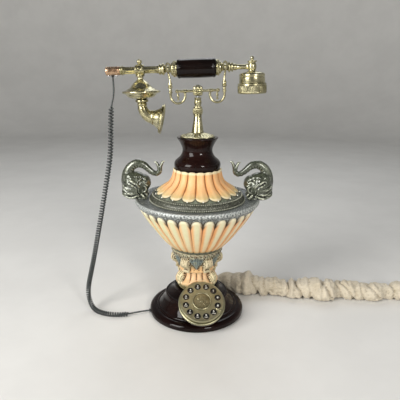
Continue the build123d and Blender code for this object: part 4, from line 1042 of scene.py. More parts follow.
    # short arm to the earpiece
    arm = [(0.2, 0), (0.2, 4.5), (35.4, 4.5), (35.5, 5.8), (36.2, 5.9), (37.2, 4.9), (38.8, 4.2), (40.7, 4.2), (42.6, 4.2), (43.8, 4.5), (44.6, 5.2), (45.3, 6.6), (46.0, 7.5), (46.7, 7.7), (47.3, 7.4), (47.8, 6.0), (48.4, 5.2), (49.4, 5.2), (50.0, 6.3), (50.9, 6.8), (51.7, 6.4), (52.2, 5.0), (53.4, 4.5), (55.0, 4.9), (56.2, 4.6), (57.6, 4.0), (60.0, 3.6), (66.0, 3.45), (71.5, 3.6), (73.2, 4.3), (74.6, 4.4), (74.6, 0)]
    hand("short_arm", arm, BRASS, 72, 0.35, replaced=("earpiece_arm",))
    # transmitter: clamp, stem, bell
    B = upright(-83.9)
    sp = spline([(4.9, 18.6), (7.2, 16.6), (10.6, 14.0), (13.2, 11.2), (15.6, 8.2), (18.6, 5.7), (22.6, 3.7), (26.4, 2.5)], 34)
    prof = [(0, 26.0), (4.4, 26.0), (5.2, 25.6), (5.2, 24.9), (6.2, 24.5), (6.6, 23.7), (6.3, 22.9), (5.0, 22.4), (4.5, 21.6), (4.3, 20.2), (4.5, 19.2)]
    prof = [tuple(p) for p in rounded(prof, 0.3)] + [tuple(p) for p in sp]
    rimp = rounded([(26.4, 2.4), (27.3, 2.5), (28.1, 1.9), (28.35, 0.9), (28.0, 0.0), (27.2, -0.6), (26.2, -1.0), (25.2, -0.9), (24.6, -1.5), (22.8, -2.4)], 0.3)
    low = spline([(22.8, -2.4), (21.2, -4.6), (17.8, -7.0), (12.6, -8.6), (8.4, -9.2)], 18)
    prof += [tuple(p) for p in rimp[1:]] + [tuple(p) for p in low[1:]] + [(0, -9.2)]

    def beading(R, Z, T):
        on = np.exp(-(((R - 20.6) / 0.9) ** 2)) * (Z > 2.5)
        lobes = np.exp(-(((R - 12.2) / 4.5) ** 2)) * (Z > 4.5)
        return R, Z + on * 0.45 * (0.5 + 0.5 * np.cos(T * 48)) - lobes * 0.35 * (0.5 + 0.5 * np.cos(T * 12))

    o = lathe("bell_body", np.array(prof), BRASS, 192, beading, B, sharp=45)
    finish_piece(o, "handset", "antique_brass", "transmitter_bell")
    clampp = rounded([(5.75, -6.4), (7.2, -6.4), (7.7, -5.6), (7.7, -4.0), (7.0, -3.4), (7.0, -2.2), (7.9, -1.6), (7.9, 1.6), (7.0, 2.2), (7.0, 3.4), (7.7, 4.0), (7.7, 5.6), (7.2, 6.4), (5.75, 6.4)], 0.3)
    o = lathe("bell_clamp", clampp, BRASS, 72, M=HAND @ frame4((0, 0, -83.9), (1, 0, 0), (0, 1, 0), (0, 0, 1)), closed=True)
    finish_piece(o, "handset", "antique_brass")
    fin = rounded([(0, 37.6), (4.6, 37.8), (4.8, 38.9), (4.2, 39.6), (2.7, 40.2), (2.3, 40.9), (3.1, 41.5), (3.9, 42.8), (3.9, 44.6), (3.0, 46.0), (1.7, 46.6), (1.2, 47.2), (0, 47.5)], 0.3)
    o = lathe("bell_finial", fin, BRASS, 48, M=B)
    finish_piece(o, "handset", "antique_brass")
    ear = []
    for side in (-1, 1):
        ear.append(lathe_arrays(rounded([(0, 0), (2.4, 0.1), (2.5, 1.2), (1.6, 1.7), (0, 1.8)], 0.2), 24, M=TILT @ frame4((-83.9 + 4.2, side * 7.0, 31.8), (1, 0, 0), (0, 0, 1), (0, side, 0))))
        ear.append(lathe_arrays(rounded([(0, 0), (2.4, 0.1), (2.5, 1.2), (1.6, 1.7), (0, 1.8)], 0.2), 24, M=TILT @ frame4((-83.9 - 4.2, side * 7.0, 31.8), (1, 0, 0), (0, 0, 1), (0, side, 0))))
    finish_piece(obj_from("clamp_screws", *merge(ear), BRASS), "handset", "antique_brass")
    # horn
    tip, drop = (-54.4, -39.8), math.radians(13.0)
    hd = np.array([math.cos(drop), -math.sin(drop)])
    bx, HR = -83.9, 17.5
    bend = math.radians(77)
    cz = tip[1] + (bx - tip[0]) * hd[1] / hd[0]
    bs = cz + HR * math.tan(bend / 2)
    ex, ez = bx + HR - HR * math.cos(bend), bs - HR * math.sin(bend)
    run = math.hypot(tip[0] - ex, tip[1] - ez)
    path, rad = [], []
    for t in np.linspace(0, 1, 30):
        a = t * bend
        path.append((bx + HR - HR * math.cos(a), 0, bs - HR * math.sin(a)))
        rad.append(6.7 + 3.4 * t**1.3 + (0.7 if 0.12 < t < 0.2 else 0.0))
    V, F = tube_arrays(put(path, TILT), rad, 64, caps=False)
    col = rounded([(0, -7.0), (4.9, -7.0), (5.3, -8.0), (5.4, -9.2), (8.4, -9.9), (9.6, -10.8), (9.7, -13.0), (8.4, -14.2), (6.5, -14.8), (6.1, -15.2), (7.2, -15.8), (7.7, -16.6), (7.4, -17.6), (6.8, -18.4), (6.7, bs), (0, bs - 0.5)], 0.3)
    c1 = lathe_arrays(col, 64, M=upright(bx))
    Mf = TILT @ frame4((ex, 0, ez), (0, 1, 0), (-hd[1], 0, hd[0]), (hd[0], 0, hd[1]))
    fl = [(0, -0.6), (10.0, -0.6), (10.3, 0.8), (11.4, 1.6), (11.6, 2.6), (11.0, 3.6)]
    mid = spline([(11.0, 3.6), (12.4, run * 0.36), (14.2, run * 0.54), (16.0, run * 0.7), (17.6, run - 3.6)], 18)
    outp = rounded([(17.4, run - 3.6), (20.6, run - 3.5), (21.5, run - 3.0), (21.5, run - 2.3), (21.0, run - 1.8), (22.0, run - 1.6), (22.7, run - 1.0), (22.7, run + 0.1), (22.2, run + 0.7), (20.6, run + 0.8), (19.6, run + 0.3), (18.2, run - 0.6)], 0.25)
    inn = spline([(18.2, run - 0.6), (14.4, run - 3.2), (10.6, run * 0.55), (7.6, 4.0), (5.4, 0.4)], 18)
    fprof = np.vstack([fl[:-1], mid, outp[1:], inn[1:], [(0, 0.2)]])

    def scallop(R, Z, T):
        on = smoothstep(run * 0.35, run * 0.8, Z) * (Z < run - 3.4) * (R > 9)
        return R + on * 0.45 * np.cos(T * 16), Z

    c2 = lathe_arrays(fprof, 160, scallop, Mf)
    o = obj_from("horn_body", *merge([(V, F), c1, c2]), BRASS, sharp=42)
    finish_piece(o, "handset", "antique_brass", "horn")
    # receiver: stem, cup, cap with a pierced front
    R = upright(80.0)
    cup = rounded([(0, 46.4), (1.5, 46.0), (2.6, 45.0), (3.0, 43.6), (2.6, 42.2), (1.7, 41.4), (1.7, 40.8), (3.2, 40.3), (6.6, 39.9), (7.2, 39.2), (7.0, 38.2), (5.6, 37.6), (5.1, 36.6), (5.7, 35.4), (6.3, 33.6), (6.35, 30.2), (5.9, 28.2), (5.3, 26.8), (5.6, 25.8), (7.8, 25.0), (9.4, 24.7), (10.0, 24.0), (14.8, 23.4), (17.4, 22.4), (18.6, 21.2), (19.0, 19.8), (19.0, 18.6), (18.4, 18.0), (18.4, 17.2), (19.0, 16.6), (19.0, 8.5), (16.6, 8.5), (16.6, 20.0), (0, 20.6)], 0.35)
    o = lathe("receiver_body", cup, BRASS, 96, M=R, sharp=42)
    finish_piece(o, "handset", "antique_brass", "receiver_cup")
    capp = rounded([(0, -2.4), (3.0, -2.5), (3.4, -3.1), (4.2, -3.1), (4.6, -2.6), (9.6, -3.0), (10.4, -3.6), (11.4, -3.6), (12.0, -3.1), (15.6, -4.4), (17.2, -6.2), (18.6, -6.8), (20.2, -6.5), (21.2, -5.6), (21.4, -4.4), (21.4, 5.0), (20.9, 5.6), (20.9, 6.2), (21.3, 6.8), (21.0, 7.8), (20.2, 8.5), (16.4, 8.5), (16.4, -1.0), (0, -0.2)], 0.3)

    def cap_knurl(Rr, Z, T):
        on = (Z > -4.2) & (Z < 4.8) & (Rr > 21.0)
        return Rr - np.where(on, 0.38 * (0.5 + 0.5 * np.cos(T * 72)) ** 1.0, 0), Z

    o = lathe("receiver_ring", dense(capp, 0.7), BRASS, 432, cap_knurl, R, sharp=42)
    finish_piece(o, "handset", "antique_brass", "receiver_cap")
    holes = []
    for rr, cnt in ((0, 1), (7.0, 6), (13.2, 12)):
        for k in range(cnt):
            a = 2 * PI * k / max(cnt, 1)
            x, y = rr * math.cos(a), rr * math.sin(a)
            zz = -2.4 - 0.055 * rr - (0.9 if rr > 12 else 0)
            holes.append(lathe_arrays([(0, zz - 0.25), (0.8, zz - 0.25), (1.1, zz - 0.1), (1.1, zz + 0.8), (0, zz + 0.8)], 16, M=upright(80.0 + x, y)))
    o = obj_from("receiver_sound_holes", *merge(holes), BLACK)
    finish_piece(o, "handset", "black_plastic")


handset()


# ------------------------------------------------------------------ bowl and cover
def brushed(az, lon, seed, amount=0.5):
    """Soft hand-brushed variation that runs along a flute."""
    a = np.sin(az * 3 + seed) + np.sin(az * 7.3 + 1.7 * seed) + 0.7 * np.sin(az * 19.1 + lon * 1.3 + seed)
    return 0.5 + amount * a / 5.4


def mixc(a, b, t):
    t = np.clip(np.asarray(t), 0, 1)[..., None]
    return np.asarray(a) * (1 - t) + np.asarray(b) * t


def mixed_lathe(name, outer, inner, seg, shape, color, mat, cav=(10, 1.0), body="base", slot="peach_resin", replaced=()):
    """Closed turned shell. The outer rows get relief and paint from shape and color, the inner rows stay plain."""
    outer = np.asarray(outer, float)
    inner = np.asarray(inner, float)
    n_out = len(outer)
    prof = np.vstack([outer, inner])
    T = np.repeat((np.arange(seg) * 2 * PI / seg)[None, :], len(prof), 0)
    R = np.repeat(prof[:, :1], seg, 1)
    Z = np.repeat(prof[:, 1:2], seg, 1)
    d = np.gradient(outer, axis=0)
    nrm = np.stack([d[:, 1], -d[:, 0]], -1)
    nrm /= np.linalg.norm(nrm, axis=1)[:, None]
    if nrm[:, 0].sum() < 0:
        nrm = -nrm
    H, C = shape(R[:n_out], Z[:n_out], T[:n_out]), None
    R[:n_out] += H * nrm[:, :1]
    Z[:n_out] += H * nrm[:, 1:2]
    V = np.stack([R * np.cos(T), R * np.sin(T), Z], -1).reshape(-1, 3)
    F = grid_faces(len(prof), seg, wrap_n=True)
    me_cols = np.zeros((len(prof), seg, 3)) + lina((190, 160, 120))
    me_cols[:n_out] = color(np.repeat(prof[:n_out, :1], seg, 1), np.repeat(prof[:n_out, 1:2], seg, 1), T[:n_out])
    o = obj_from(name, V, F, mat, sharp=None, fix=False)
    bm = bmesh.new()
    bm.from_mesh(o.data)
    bmesh.ops.recalc_face_normals(bm, faces=bm.faces)
    bm.to_mesh(o.data)
    bm.free()
    set_colors(o, me_cols.reshape(-1, 3))
    if cav:
        cavity(o, *cav)
    return finish_piece(o, body, slot, *replaced)


CREAM, IVORY, SAGE = lina((226, 214, 178)), lina((236, 228, 200)), lina((206, 208, 166))
# GROOVE_SHADE is the dark brown painted into grooves between lobes and petals as shade
PEACH, ORANGE, GROOVE_SHADE = lina((232, 184, 132)), lina((216, 144, 84)), lina((98, 54, 22))
SPECK, SPECK_D = lina((138, 142, 140)), lina((58, 62, 58))


def bowl():
    N = 30
    base = spline([(37.6, 112.4), (46.8, 122.0), (57.9, 133.9), (67.0, 146.2), (75.0, 156.9), (82.4, 168.2), (83.6, 170.2)], 64)
    top = spline([(83.6, 170.2), (86.9, 175.6), (89.4, 180.0), (91.2, 183.6), (92.2, 187.0)], 46)
    outer = np.vstack([base[:-1], top])
    inner = dense([(88.0, 187.0), (85.2, 179.0), (78.0, 168.6), (63.0, 147.0), (53.6, 135.2), (42.6, 123.6), (36.0, 117.4), (6.0, 117.4), (6.0, 112.4), (35.0, 112.4)], 6.0)

    def lobe(T):
        ph = (T + PI / 2) * N / (2 * PI)
        k = np.round(ph)
        return (ph - k) * 2, k

    def edges(Z, u):
        return 185.2 - 10.5 * np.abs(u) ** 2.3

    def shape(R, Z, T):
        u, k = lobe(T)
        amp = np.interp(Z, [112, 120, 145, 186], [1.0, 1.4, 2.2, 2.7])
        dome = np.sqrt(np.clip(1 - (0.97 * u) ** 2, 0, 1))
        h = amp * (dome - 1.0) + 0.35
        h -= 0.5 * np.exp(-(((1 - np.abs(u)) / 0.09) ** 2))
        # the lobe rounds over towards its arched top
        over = edges(Z, u) - Z
        h -= 1.5 * np.clip(1 - over / 4.2, 0, 1) ** 2
        sp = smoothstep(0.5, -0.5, over)
        flat = -amp * 0.72 - 1.35 + 0.9 * smoothstep(-1, -7, over)
        # the last few millimetres swell out again to meet the rim
        return h * (1 - sp) + flat * sp

    def color(R, Z, T):
        u, k = lobe(T)
        az = T + PI / 2
        side = np.sin(az)
        v = brushed(k * 1.7, Z * 0.03, 1.0, 0.9)
        ridge = mixc(mixc(CREAM, SAGE, np.clip(0.45 - 0.55 * side + 0.3 * (v - 0.5), 0, 0.75)), IVORY, np.clip(0.25 + 0.35 * side, 0, 1) * 0.5)
        valley = mixc(PEACH, ORANGE, np.clip(0.55 + 0.55 * side + 0.5 * (v - 0.5), 0, 1))
        # the glaze pools on the side of each lobe that turns right
        w = smoothstep(0.22, 0.82, np.abs(u - 0.06))
        C = mixc(ridge, valley, w * (0.9 + 0.3 * (v - 0.5)))
        C = mixc(C, PEACH, 0.4 * smoothstep(155, 118, Z) * (0.6 + 0.8 * v))
        # painted shade: a dark brown line down the groove where two lobes meet
        C = mixc(C, GROOVE_SHADE, 0.6 * smoothstep(0.86, 1.0, np.abs(u)) * smoothstep(125, 172, Z))
        # painted shade: a dark brown wedge in the groove between lobe tops, under the rim
        C = mixc(C, lina((52, 34, 16)), 0.95 * smoothstep(0.72, 0.93, np.abs(u) + 0.035 * (Z - 172)) * smoothstep(161, 171, Z))
        over = edges(Z, u) - Z
        C = mixc(C, IVORY, 0.65 * np.exp(-(((over - 1.6) / 2.2) ** 2)) * smoothstep(0.95, 0.6, np.abs(u)))
        # painted shade: the recessed ground is darkened next to each lobe's top edge, towards its corners under the rim
        tip = np.exp(-(((over + 1.0) / 1.6) ** 2)) * smoothstep(0.55, 0.85, np.abs(u))
        g = mixc(mixc(SPECK, SPECK_D, 0.25), lina((44, 32, 20)), np.clip(1.1 * tip, 0, 1))
        C = mixc(C, g, smoothstep(0.55, -0.35, over))
        foot = mixc(lina((120, 122, 104)), lina((70, 76, 66)), 0.5 + 0.5 * np.sin(T * 41 + Z) * np.sin(T * 23))
        C = mixc(C, lina((196, 150, 92)), 0.6 * smoothstep(124.5, 120.5, Z))
        C = mixc(C, foot, smoothstep(120.4, 119.2, Z))
        return C

    return mixed_lathe("fluted_bowl", outer, inner, 30 * 26, shape, color, RESIN, (14, 0.9), replaced=("bowl",))


def rim():
    prof = rounded([(82.4, 181.2), (84.6, 181.2), (86.8, 186.2), (92.2, 186.0), (93.4, 186.4), (94.4, 188.0), (95.6, 189.8), (96.6, 190.6)], 0.4, 3)
    lip = spline([(96.6, 190.6), (97.5, 191.8), (97.9, 193.4), (97.5, 195.3), (96.2, 196.4), (94.4, 196.4)], 16)
    inn = spline([(94.4, 196.4), (92.6, 195.4), (89.6, 195.2), (84.0, 194.3), (79.0, 193.6), (74.0, 193.0)], 22)
    back = rounded([(74.0, 193.0), (74.0, 189.8), (82.4, 189.8), (82.4, 181.2)], 0.2, 2)
    P = np.vstack([prof, lip[1:], inn[1:], back[1:]])
    P = dense(P[:-1], 0.8, closed=True)
    seg = 540
    T = np.repeat((np.arange(seg) * 2 * PI / seg)[None, :], len(P), 0)
    R = np.repeat(P[:, :1], seg, 1)
    Z = np.repeat(P[:, 1:2], seg, 1)
    # cast surface: faint hammering and a shallow running leaf on the sloped face
    bump = 0.12 * np.sin(T * 60 + np.sin(Z * 1.7) * 1.2) * np.exp(-(((Z - 189.0) / 2.0) ** 2)) * (R > 90)
    bump += 0.12 * np.sin(T * 131 + R * 2.0) + 0.10 * np.sin(T * 83 - R * 3.1 + Z)
    R = R + bump
    Z = Z + 0.12 * np.sin(T * 97 + R * 1.4) * (Z > 193)
    V = np.stack([R * np.cos(T), R * np.sin(T), Z], -1).reshape(-1, 3)
    o = obj_from("silvered_rim", V, grid_faces(len(P), seg, wrap_n=True), RIM_MAT, sharp=None)
    cavity(o, 10, 0.9)
    finish_piece(o, "base", "silver_resin", "bowl_rim")
    # half-round ring inside the rim with two rows of beads
    ring = spline([(73.6, 192.6), (74.3, 194.4), (74.2, 196.4), (73.5, 198.6), (72.2, 200.7), (70.6, 202.5), (68.9, 203.9), (67.4, 204.3), (66.8, 203.4)], 34)
    P = np.vstack([ring, dense([(66.8, 203.4), (68.9, 200.4), (70.2, 196.0), (70.4, 192.6)], 1.6)[1:], dense([(70.4, 192.6), (73.6, 192.6)], 1.6)[1:-1]])
    seg = 720
    T = np.repeat((np.arange(seg) * 2 * PI / seg)[None, :], len(P), 0)
    R = np.repeat(P[:, :1], seg, 1)
    Z = np.repeat(P[:, 1:2], seg, 1)
    on = (Z > 193.5)
    mid = np.exp(-(((Z - 198.9) / 2.2) ** 4)) * on * (R > 71.2)
    rope = (0.5 * np.abs(np.sin(T * 75 + (Z - 199) * 0.5)) ** 0.7 - 0.2) * mid
    Z = Z + rope * 0.6
    R = R + rope * 0.8
    V = np.stack([R * np.cos(T), R * np.sin(T), Z], -1).reshape(-1, 3)
    parts = [(V, grid_faces(len(P), seg, wrap_n=True))]
    for rr, zz, cnt, s in ((74.6, 195.0, 150, 1.1), (70.2, 203.1, 140, 0.95)):
        for a in np.arange(cnt) * 2 * PI / cnt:
            parts.append(ball_arrays((rr * math.cos(a), rr * math.sin(a), zz), s, 7, 5))
    o = obj_from("rope_ring", *merge(parts), OLIVE, sharp=None)
    cavity(o, 6, 1.0)
    finish_piece(o, "base", "verdigris_resin")


def cover():
    N = 18
    ph0 = math.radians(-92.0)
    low = spline([(71.9, 193.4), (71.6, 197.4), (69.2, 202.2), (65.2, 206.3), (60.0, 210.0)], 44)
    up = spline([(60.0, 210.0), (54.2, 213.8), (48.5, 217.6), (44.8, 220.9), (42.3, 224.0), (39.9, 228.2), (38.4, 232.5), (37.4, 237.0), (36.9, 241.0)], 70)
    tip = spline([(36.9, 241.0), (36.7, 242.2), (35.9, 242.5), (35.2, 241.4)], 8)
    outer = np.vstack([low[:-1], up, tip[1:]])
    inner = dense([(33.9, 240.6), (34.0, 238.0), (35.8, 231.0), (40.0, 221.6), (46.8, 214.6), (58.2, 207.0), (66.8, 199.6), (68.2, 193.4), (70.2, 193.4)], 5.0)
    ln = np.concatenate([[0], np.cumsum(np.linalg.norm(np.diff(outer, axis=0), axis=1))])

    def lon(R, Z):
        # distance along the profile from the foot, found from the height
        return np.interp(Z, outer[: len(low) + len(up) - 1, 1], ln[: len(low) + len(up) - 1])

    def cell(T):
        ph = (T - ph0) * N / (2 * PI)
        k = np.floor(ph)
        return (ph - k - 0.5) * 2, k

    L_tip = lambda u: 15.6 + 10.0 * (1 - np.sqrt(np.clip(1 - (0.98 * u) ** 2, 0, 1)))

    def shape(R, Z, T):
        u, k = cell(T)
        s = lon(R, Z)
        amp = np.interp(s, [12, 20, 34, 62, 80], [2.4, 3.3, 3.0, 2.4, 2.0])
        dome = np.sqrt(np.clip(1 - (0.96 * u) ** 2, 0, 1))
        h = amp * (dome - 0.72)
        h -= 0.7 * np.exp(-(((1 - np.abs(u)) / 0.12) ** 2))
        # crease lines down each petal, stronger at the foot
        h += 0.22 * np.cos(u * 7.5) * smoothstep(46, 20, s) * smoothstep(1.0, 0.6, np.abs(u))
        over = s - L_tip(u)
        h -= 1.8 * np.clip(1 - over / 3.4, 0, 1) ** 2
        below = smoothstep(0.45, -0.45, over)
        h = h * (1 - below) + (-1.5) * below
        # the top edge rises to a small point on every petal
        return h

    def color(R, Z, T):
        u, k = cell(T)
        s = lon(R, Z)
        v = brushed(k * 2.3, s * 0.05, 2.0, 0.9)
        streak = 0.5 + 0.5 * np.sin(u * 11 + k * 2.1 + 0.12 * s)
        top = mixc(lina((232, 180, 124)), lina((222, 158, 92)), 0.6 * v + 0.25 * streak)
        mid = mixc(lina((232, 184, 132)), lina((222, 162, 98)), 0.5 * v + 0.3 * streak)
        foot = mixc(lina((208, 184, 134)), lina((190, 174, 120)), v)
        C = mixc(top, mid, smoothstep(70, 48, s))
        C = mixc(C, foot, smoothstep(36, 18, s) * (0.8 + 0.2 * streak))
        # painted highlight: each petal is paler down its middle
        C = mixc(C, lina((242, 208, 160)), 0.4 * np.exp(-((u / 0.35) ** 2)) * (0.4 + 0.6 * streak))
        # painted shade: brown towards each petal's sides, dark brown in the grooves between petals
        C = mixc(C, lina((188, 118, 54)), 0.75 * smoothstep(0.6, 0.96, np.abs(u)) * smoothstep(24, 38, s))
        C = mixc(C, GROOVE_SHADE, 0.6 * smoothstep(0.85, 1.0, np.abs(u)))
        over = s - L_tip(u)
        C = mixc(C, lina((222, 214, 184)), 0.6 * np.exp(-(((over - 1.0) / 1.8) ** 2)))
        grey = mixc(lina((118, 124, 108)), lina((74, 82, 68)), 0.6 * streak)
        # painted shadow: the ground just below each petal tip is darkened
        grey = mixc(grey, lina((34, 32, 22)), 0.85 * np.exp(-(((over + 1.1) / 1.3) ** 2)))
        C = mixc(C, grey, smoothstep(0.4, -0.4, over))
        C = mixc(C, lina((226, 214, 176)), 0.85 * smoothstep(ln[-9] - 2.2, ln[-9] - 0.4, s))
        return C

    o = mixed_lathe("petal_dome", outer, inner, N * 40, shape, color, RESIN, (12, 0.9), replaced=("petal_cover",))
    # pearls on the petal tips and small points round the top edge
    parts, cols = [], []
    for k in range(N):
        a = ph0 + (k + 0.5) * 2 * PI / N
        i = int(np.argmin(np.abs(ln - 14.6)))
        r, z = outer[i] + np.array([0.6, 0.4])
        parts.append(ball_arrays((r * math.cos(a), r * math.sin(a), z), 1.05, 14, 10))
        cols.append(lina((244, 244, 232)))
        for b, s in ((a, 1.0), (a + PI / N, 0.8)):
            p = np.array([36.6 * math.cos(b), 36.6 * math.sin(b), 241.5])
            parts.append(ball_arrays(p, (1.5 * s, 1.5 * s, 1.1 * s), 12, 8))
            cols.append(lina((228, 218, 184)))
    V, F = merge(parts)
    q = obj_from("cover_pearls", V, F, RESIN, sharp=None, fix=False)
    C = np.vstack([np.repeat(c[None, :], len(p[0]), 0) for p, c in zip(parts, cols)])
    set_colors(q, C)
    at = q.data.attributes.new("Cav", "FLOAT", "POINT")
    at.data.foreach_set("value", np.full(len(C), 0.6, np.float32))
    finish_piece(q, "base", "cream_resin")


bowl()
rim()
cover()


# ------------------------------------------------------------------ capital and stem
def at_azimuth(V, a):
    """Points given as (tangential, outward, up) turned to stand at azimuth a."""
    V = np.asarray(V, float)
    c, s = math.cos(a), math.sin(a)
    return np.stack([V[:, 1] * c - V[:, 0] * s, V[:, 1] * s + V[:, 0] * c, V[:, 2]], -1)


def scroll(rc, zc, r0, hw, turn=1.0, ridge=0.85):
    """Volute: a dished drum across the radius with a spiral ridge on both cheeks. Local (t, r, z)."""
    parts = []
    prof = [(0, -hw - 0.6), (r0 * 0.2, -hw - 0.5), (r0 * 0.34, -hw + 0.5), (r0 * 0.78, -hw + 0.7), (r0 * 0.94, -hw), (r0, -hw * 0.72), (r0 * 0.9, 0), (r0, hw * 0.72), (r0 * 0.94, hw), (r0 * 0.78, hw - 0.7), (r0 * 0.34, hw - 0.5), (r0 * 0.2, hw + 0.5), (0, hw + 0.6)]
    V, F = lathe_arrays(dense(prof, 1.2), 36)
    parts.append((np.stack([V[:, 2], rc + V[:, 0], zc + V[:, 1]], -1), F))
    for side in (-1, 1):
        th = np.linspace(0, 2.9 * PI, 46)
        rr = r0 * (0.93 - 0.66 * th / th[-1])
        P = np.stack([np.full(46, side * (hw + 0.1)), rc + rr * np.cos(th * turn + 1.1), zc + rr * np.sin(th * turn + 1.1)], -1)
        parts.append(tube_arrays(P, ridge, 8))
    return parts


def capital():
    prof = spline([(27.4, 77.4), (28.8, 80.0), (28.9, 84.0), (29.8, 88.6), (31.6, 93.0), (33.4, 98.0), (34.8, 102.4), (36.6, 105.6)], 40)
    ring = spline([(36.6, 105.6), (38.6, 106.6), (39.9, 108.6), (40.6, 111.2), (40.4, 113.4), (38.2, 113.6)], 22)
    P = np.vstack([[(0.0, 77.4)], prof, ring[1:], [(0.0, 113.6)]])[::-1]

    def mod(R, Z, T):
        low = (Z < 90) & (R > 26)
        up = (Z > 105.5) & (Z < 113.4) & (R > 36)
        R = R + np.where(low, 0.55 * np.abs(np.cos(T * 12)), 0)
        R = R + np.where(up, 0.45 * np.sin(T * 36 + Z * 0.9) + 0.25 * np.sin(T * 71 - Z), 0)
        return R, Z

    base = lathe_arrays(P, 240, mod)
    parts, cols = [base], [None]
    cream = lina((192, 178, 146))
    for k in range(6):
        a = math.radians(60 * k)
        grp = scroll(34.0, 96.0, 7.3, 6.6)
        # leaf ribs running over the front of the volute and up to the ring
        for t, rad in ((-4.4, 1.15), (-1.5, 1.3), (1.5, 1.3), (4.4, 1.15)):
            th = np.linspace(-1.25, 1.3, 18)
            Q = np.stack([np.full(18, t), 34.0 + 7.4 * np.cos(th), 96.0 + 7.4 * np.sin(th)], -1)
            grp.append(tube_arrays(Q, rad, 10))
            top = spline([(t, 36.0, 102.8), (t * 1.04, 37.6, 105.6), (t * 1.1, 39.6, 108.4), (t * 1.15, 41.0, 110.6)], 12)
            grp.append(tube_arrays(top, np.linspace(rad * 1.15, 0.9, 12), 10))
        # tapering stalk and the small scroll at its foot
        for t in (-3.6, 0.0, 3.6):
            st = spline([(t, 36.6, 91.4), (t * 0.95, 34.0, 88.6), (t * 0.9, 31.6, 86.0), (t * 0.86, 30.6, 83.0), (t * 0.86, 31.4, 80.6)], 20)
            grp.append(tube_arrays(st, np.linspace(2.5, 2.0, 20), 12))
        grp += scroll(31.4, 81.4, 3.1, 4.6, -1.0, 0.6)
        grp.append(ball_arrays((0, 35.4, 90.6), (6.2, 3.0, 3.6), 16, 10))
        for V, F in grp:
            parts.append((at_azimuth(V, a), F))
            cols.append(cream)
        # pointed leaf between the volutes
        b = a + math.radians(30)
        n, m = 22, 19
        z = np.linspace(85.0, 108.6, n)
        u = np.linspace(-1, 1, m)
        Zg, U = np.meshgrid(z, u, indexing="ij")
        rb = np.interp(Zg, [78, 84, 88.6, 93, 98, 102.4, 105.6, 111], [28.8, 28.9, 29.8, 31.6, 33.4, 34.8, 36.6, 40.2])
        half = 10.2 * smoothstep(84.0, 103.0, Zg) ** 0.8 + 0.4
        half = half * (1 + 0.10 * np.cos((Zg - 89.6) * 1.15))
        front = rb + 1.0 + 1.9 * (1 - U**2) + 0.7 * np.exp(-((U / 0.12) ** 2)) - 0.5 * np.cos(U * 9) * (np.abs(U) > 0.15)
        back = rb - 1.5
        grid = []
        for rad in (front, back):
            grid.append(np.stack([U * half, rad, Zg + 0.0 * U], -1).reshape(-1, 3))
        F1 = grid_faces(n, m, wrap_m=False)
        F2 = F1[:, ::-1] + n * m
        F = [tuple(f) for f in F1] + [tuple(f) for f in F2]
        edge = [i for i in range(m)] + [i * m + m - 1 for i in range(1, n)] + [(n - 1) * m + i for i in range(m - 2, -1, -1)] + [i * m for i in range(n - 2, 0, -1)]
        for p, q in zip(edge, edge[1:] + edge[:1]):
            F.append((q, p, p + n * m, q + n * m))
        parts.append((at_azimuth(np.vstack(grid), b), F))
        cols.append(lina((100, 114, 114)))
    cols[0] = lina((196, 166, 124))
    o = remesh("carved_capital", parts, AGED_RESIN, 0.58, 1, cols, lambda P: 0.16 * pnoise(P, 0.5, 3))
    co = get_co(o.data) / MM
    C = np.array([c.color[:3] for c in o.data.color_attributes["Col"].data])
    band = mixc(lina((104, 112, 100)), lina((48, 58, 54)), 0.5 + 0.7 * pnoise(co, 0.22, 5))
    band = mixc(band, lina((196, 200, 188)), smoothstep(0.25, 0.6, pnoise(co, 0.6, 9)) * 0.7)
    w = smoothstep(104.6, 107.4, co[:, 2]) * (0.75 + 0.25 * pnoise(co, 0.3, 2))
    C = mixc(C, band, np.clip(w, 0, 1))
    rr = np.hypot(co[:, 0], co[:, 1])
    mott = pnoise(co, 0.16, 11)
    C = mixc(C, lina((160, 158, 124)), 0.5 * smoothstep(0.0, 0.6, mott))
    C = mixc(C, lina((222, 176, 122)), 0.75 * smoothstep(90, 85, co[:, 2]) * smoothstep(31.4, 29.8, rr))
    set_colors(o, C)
    cavity(o, 12, 1.7)
    finish_piece(o, "base", "cream_resin", "pedestal_capital")


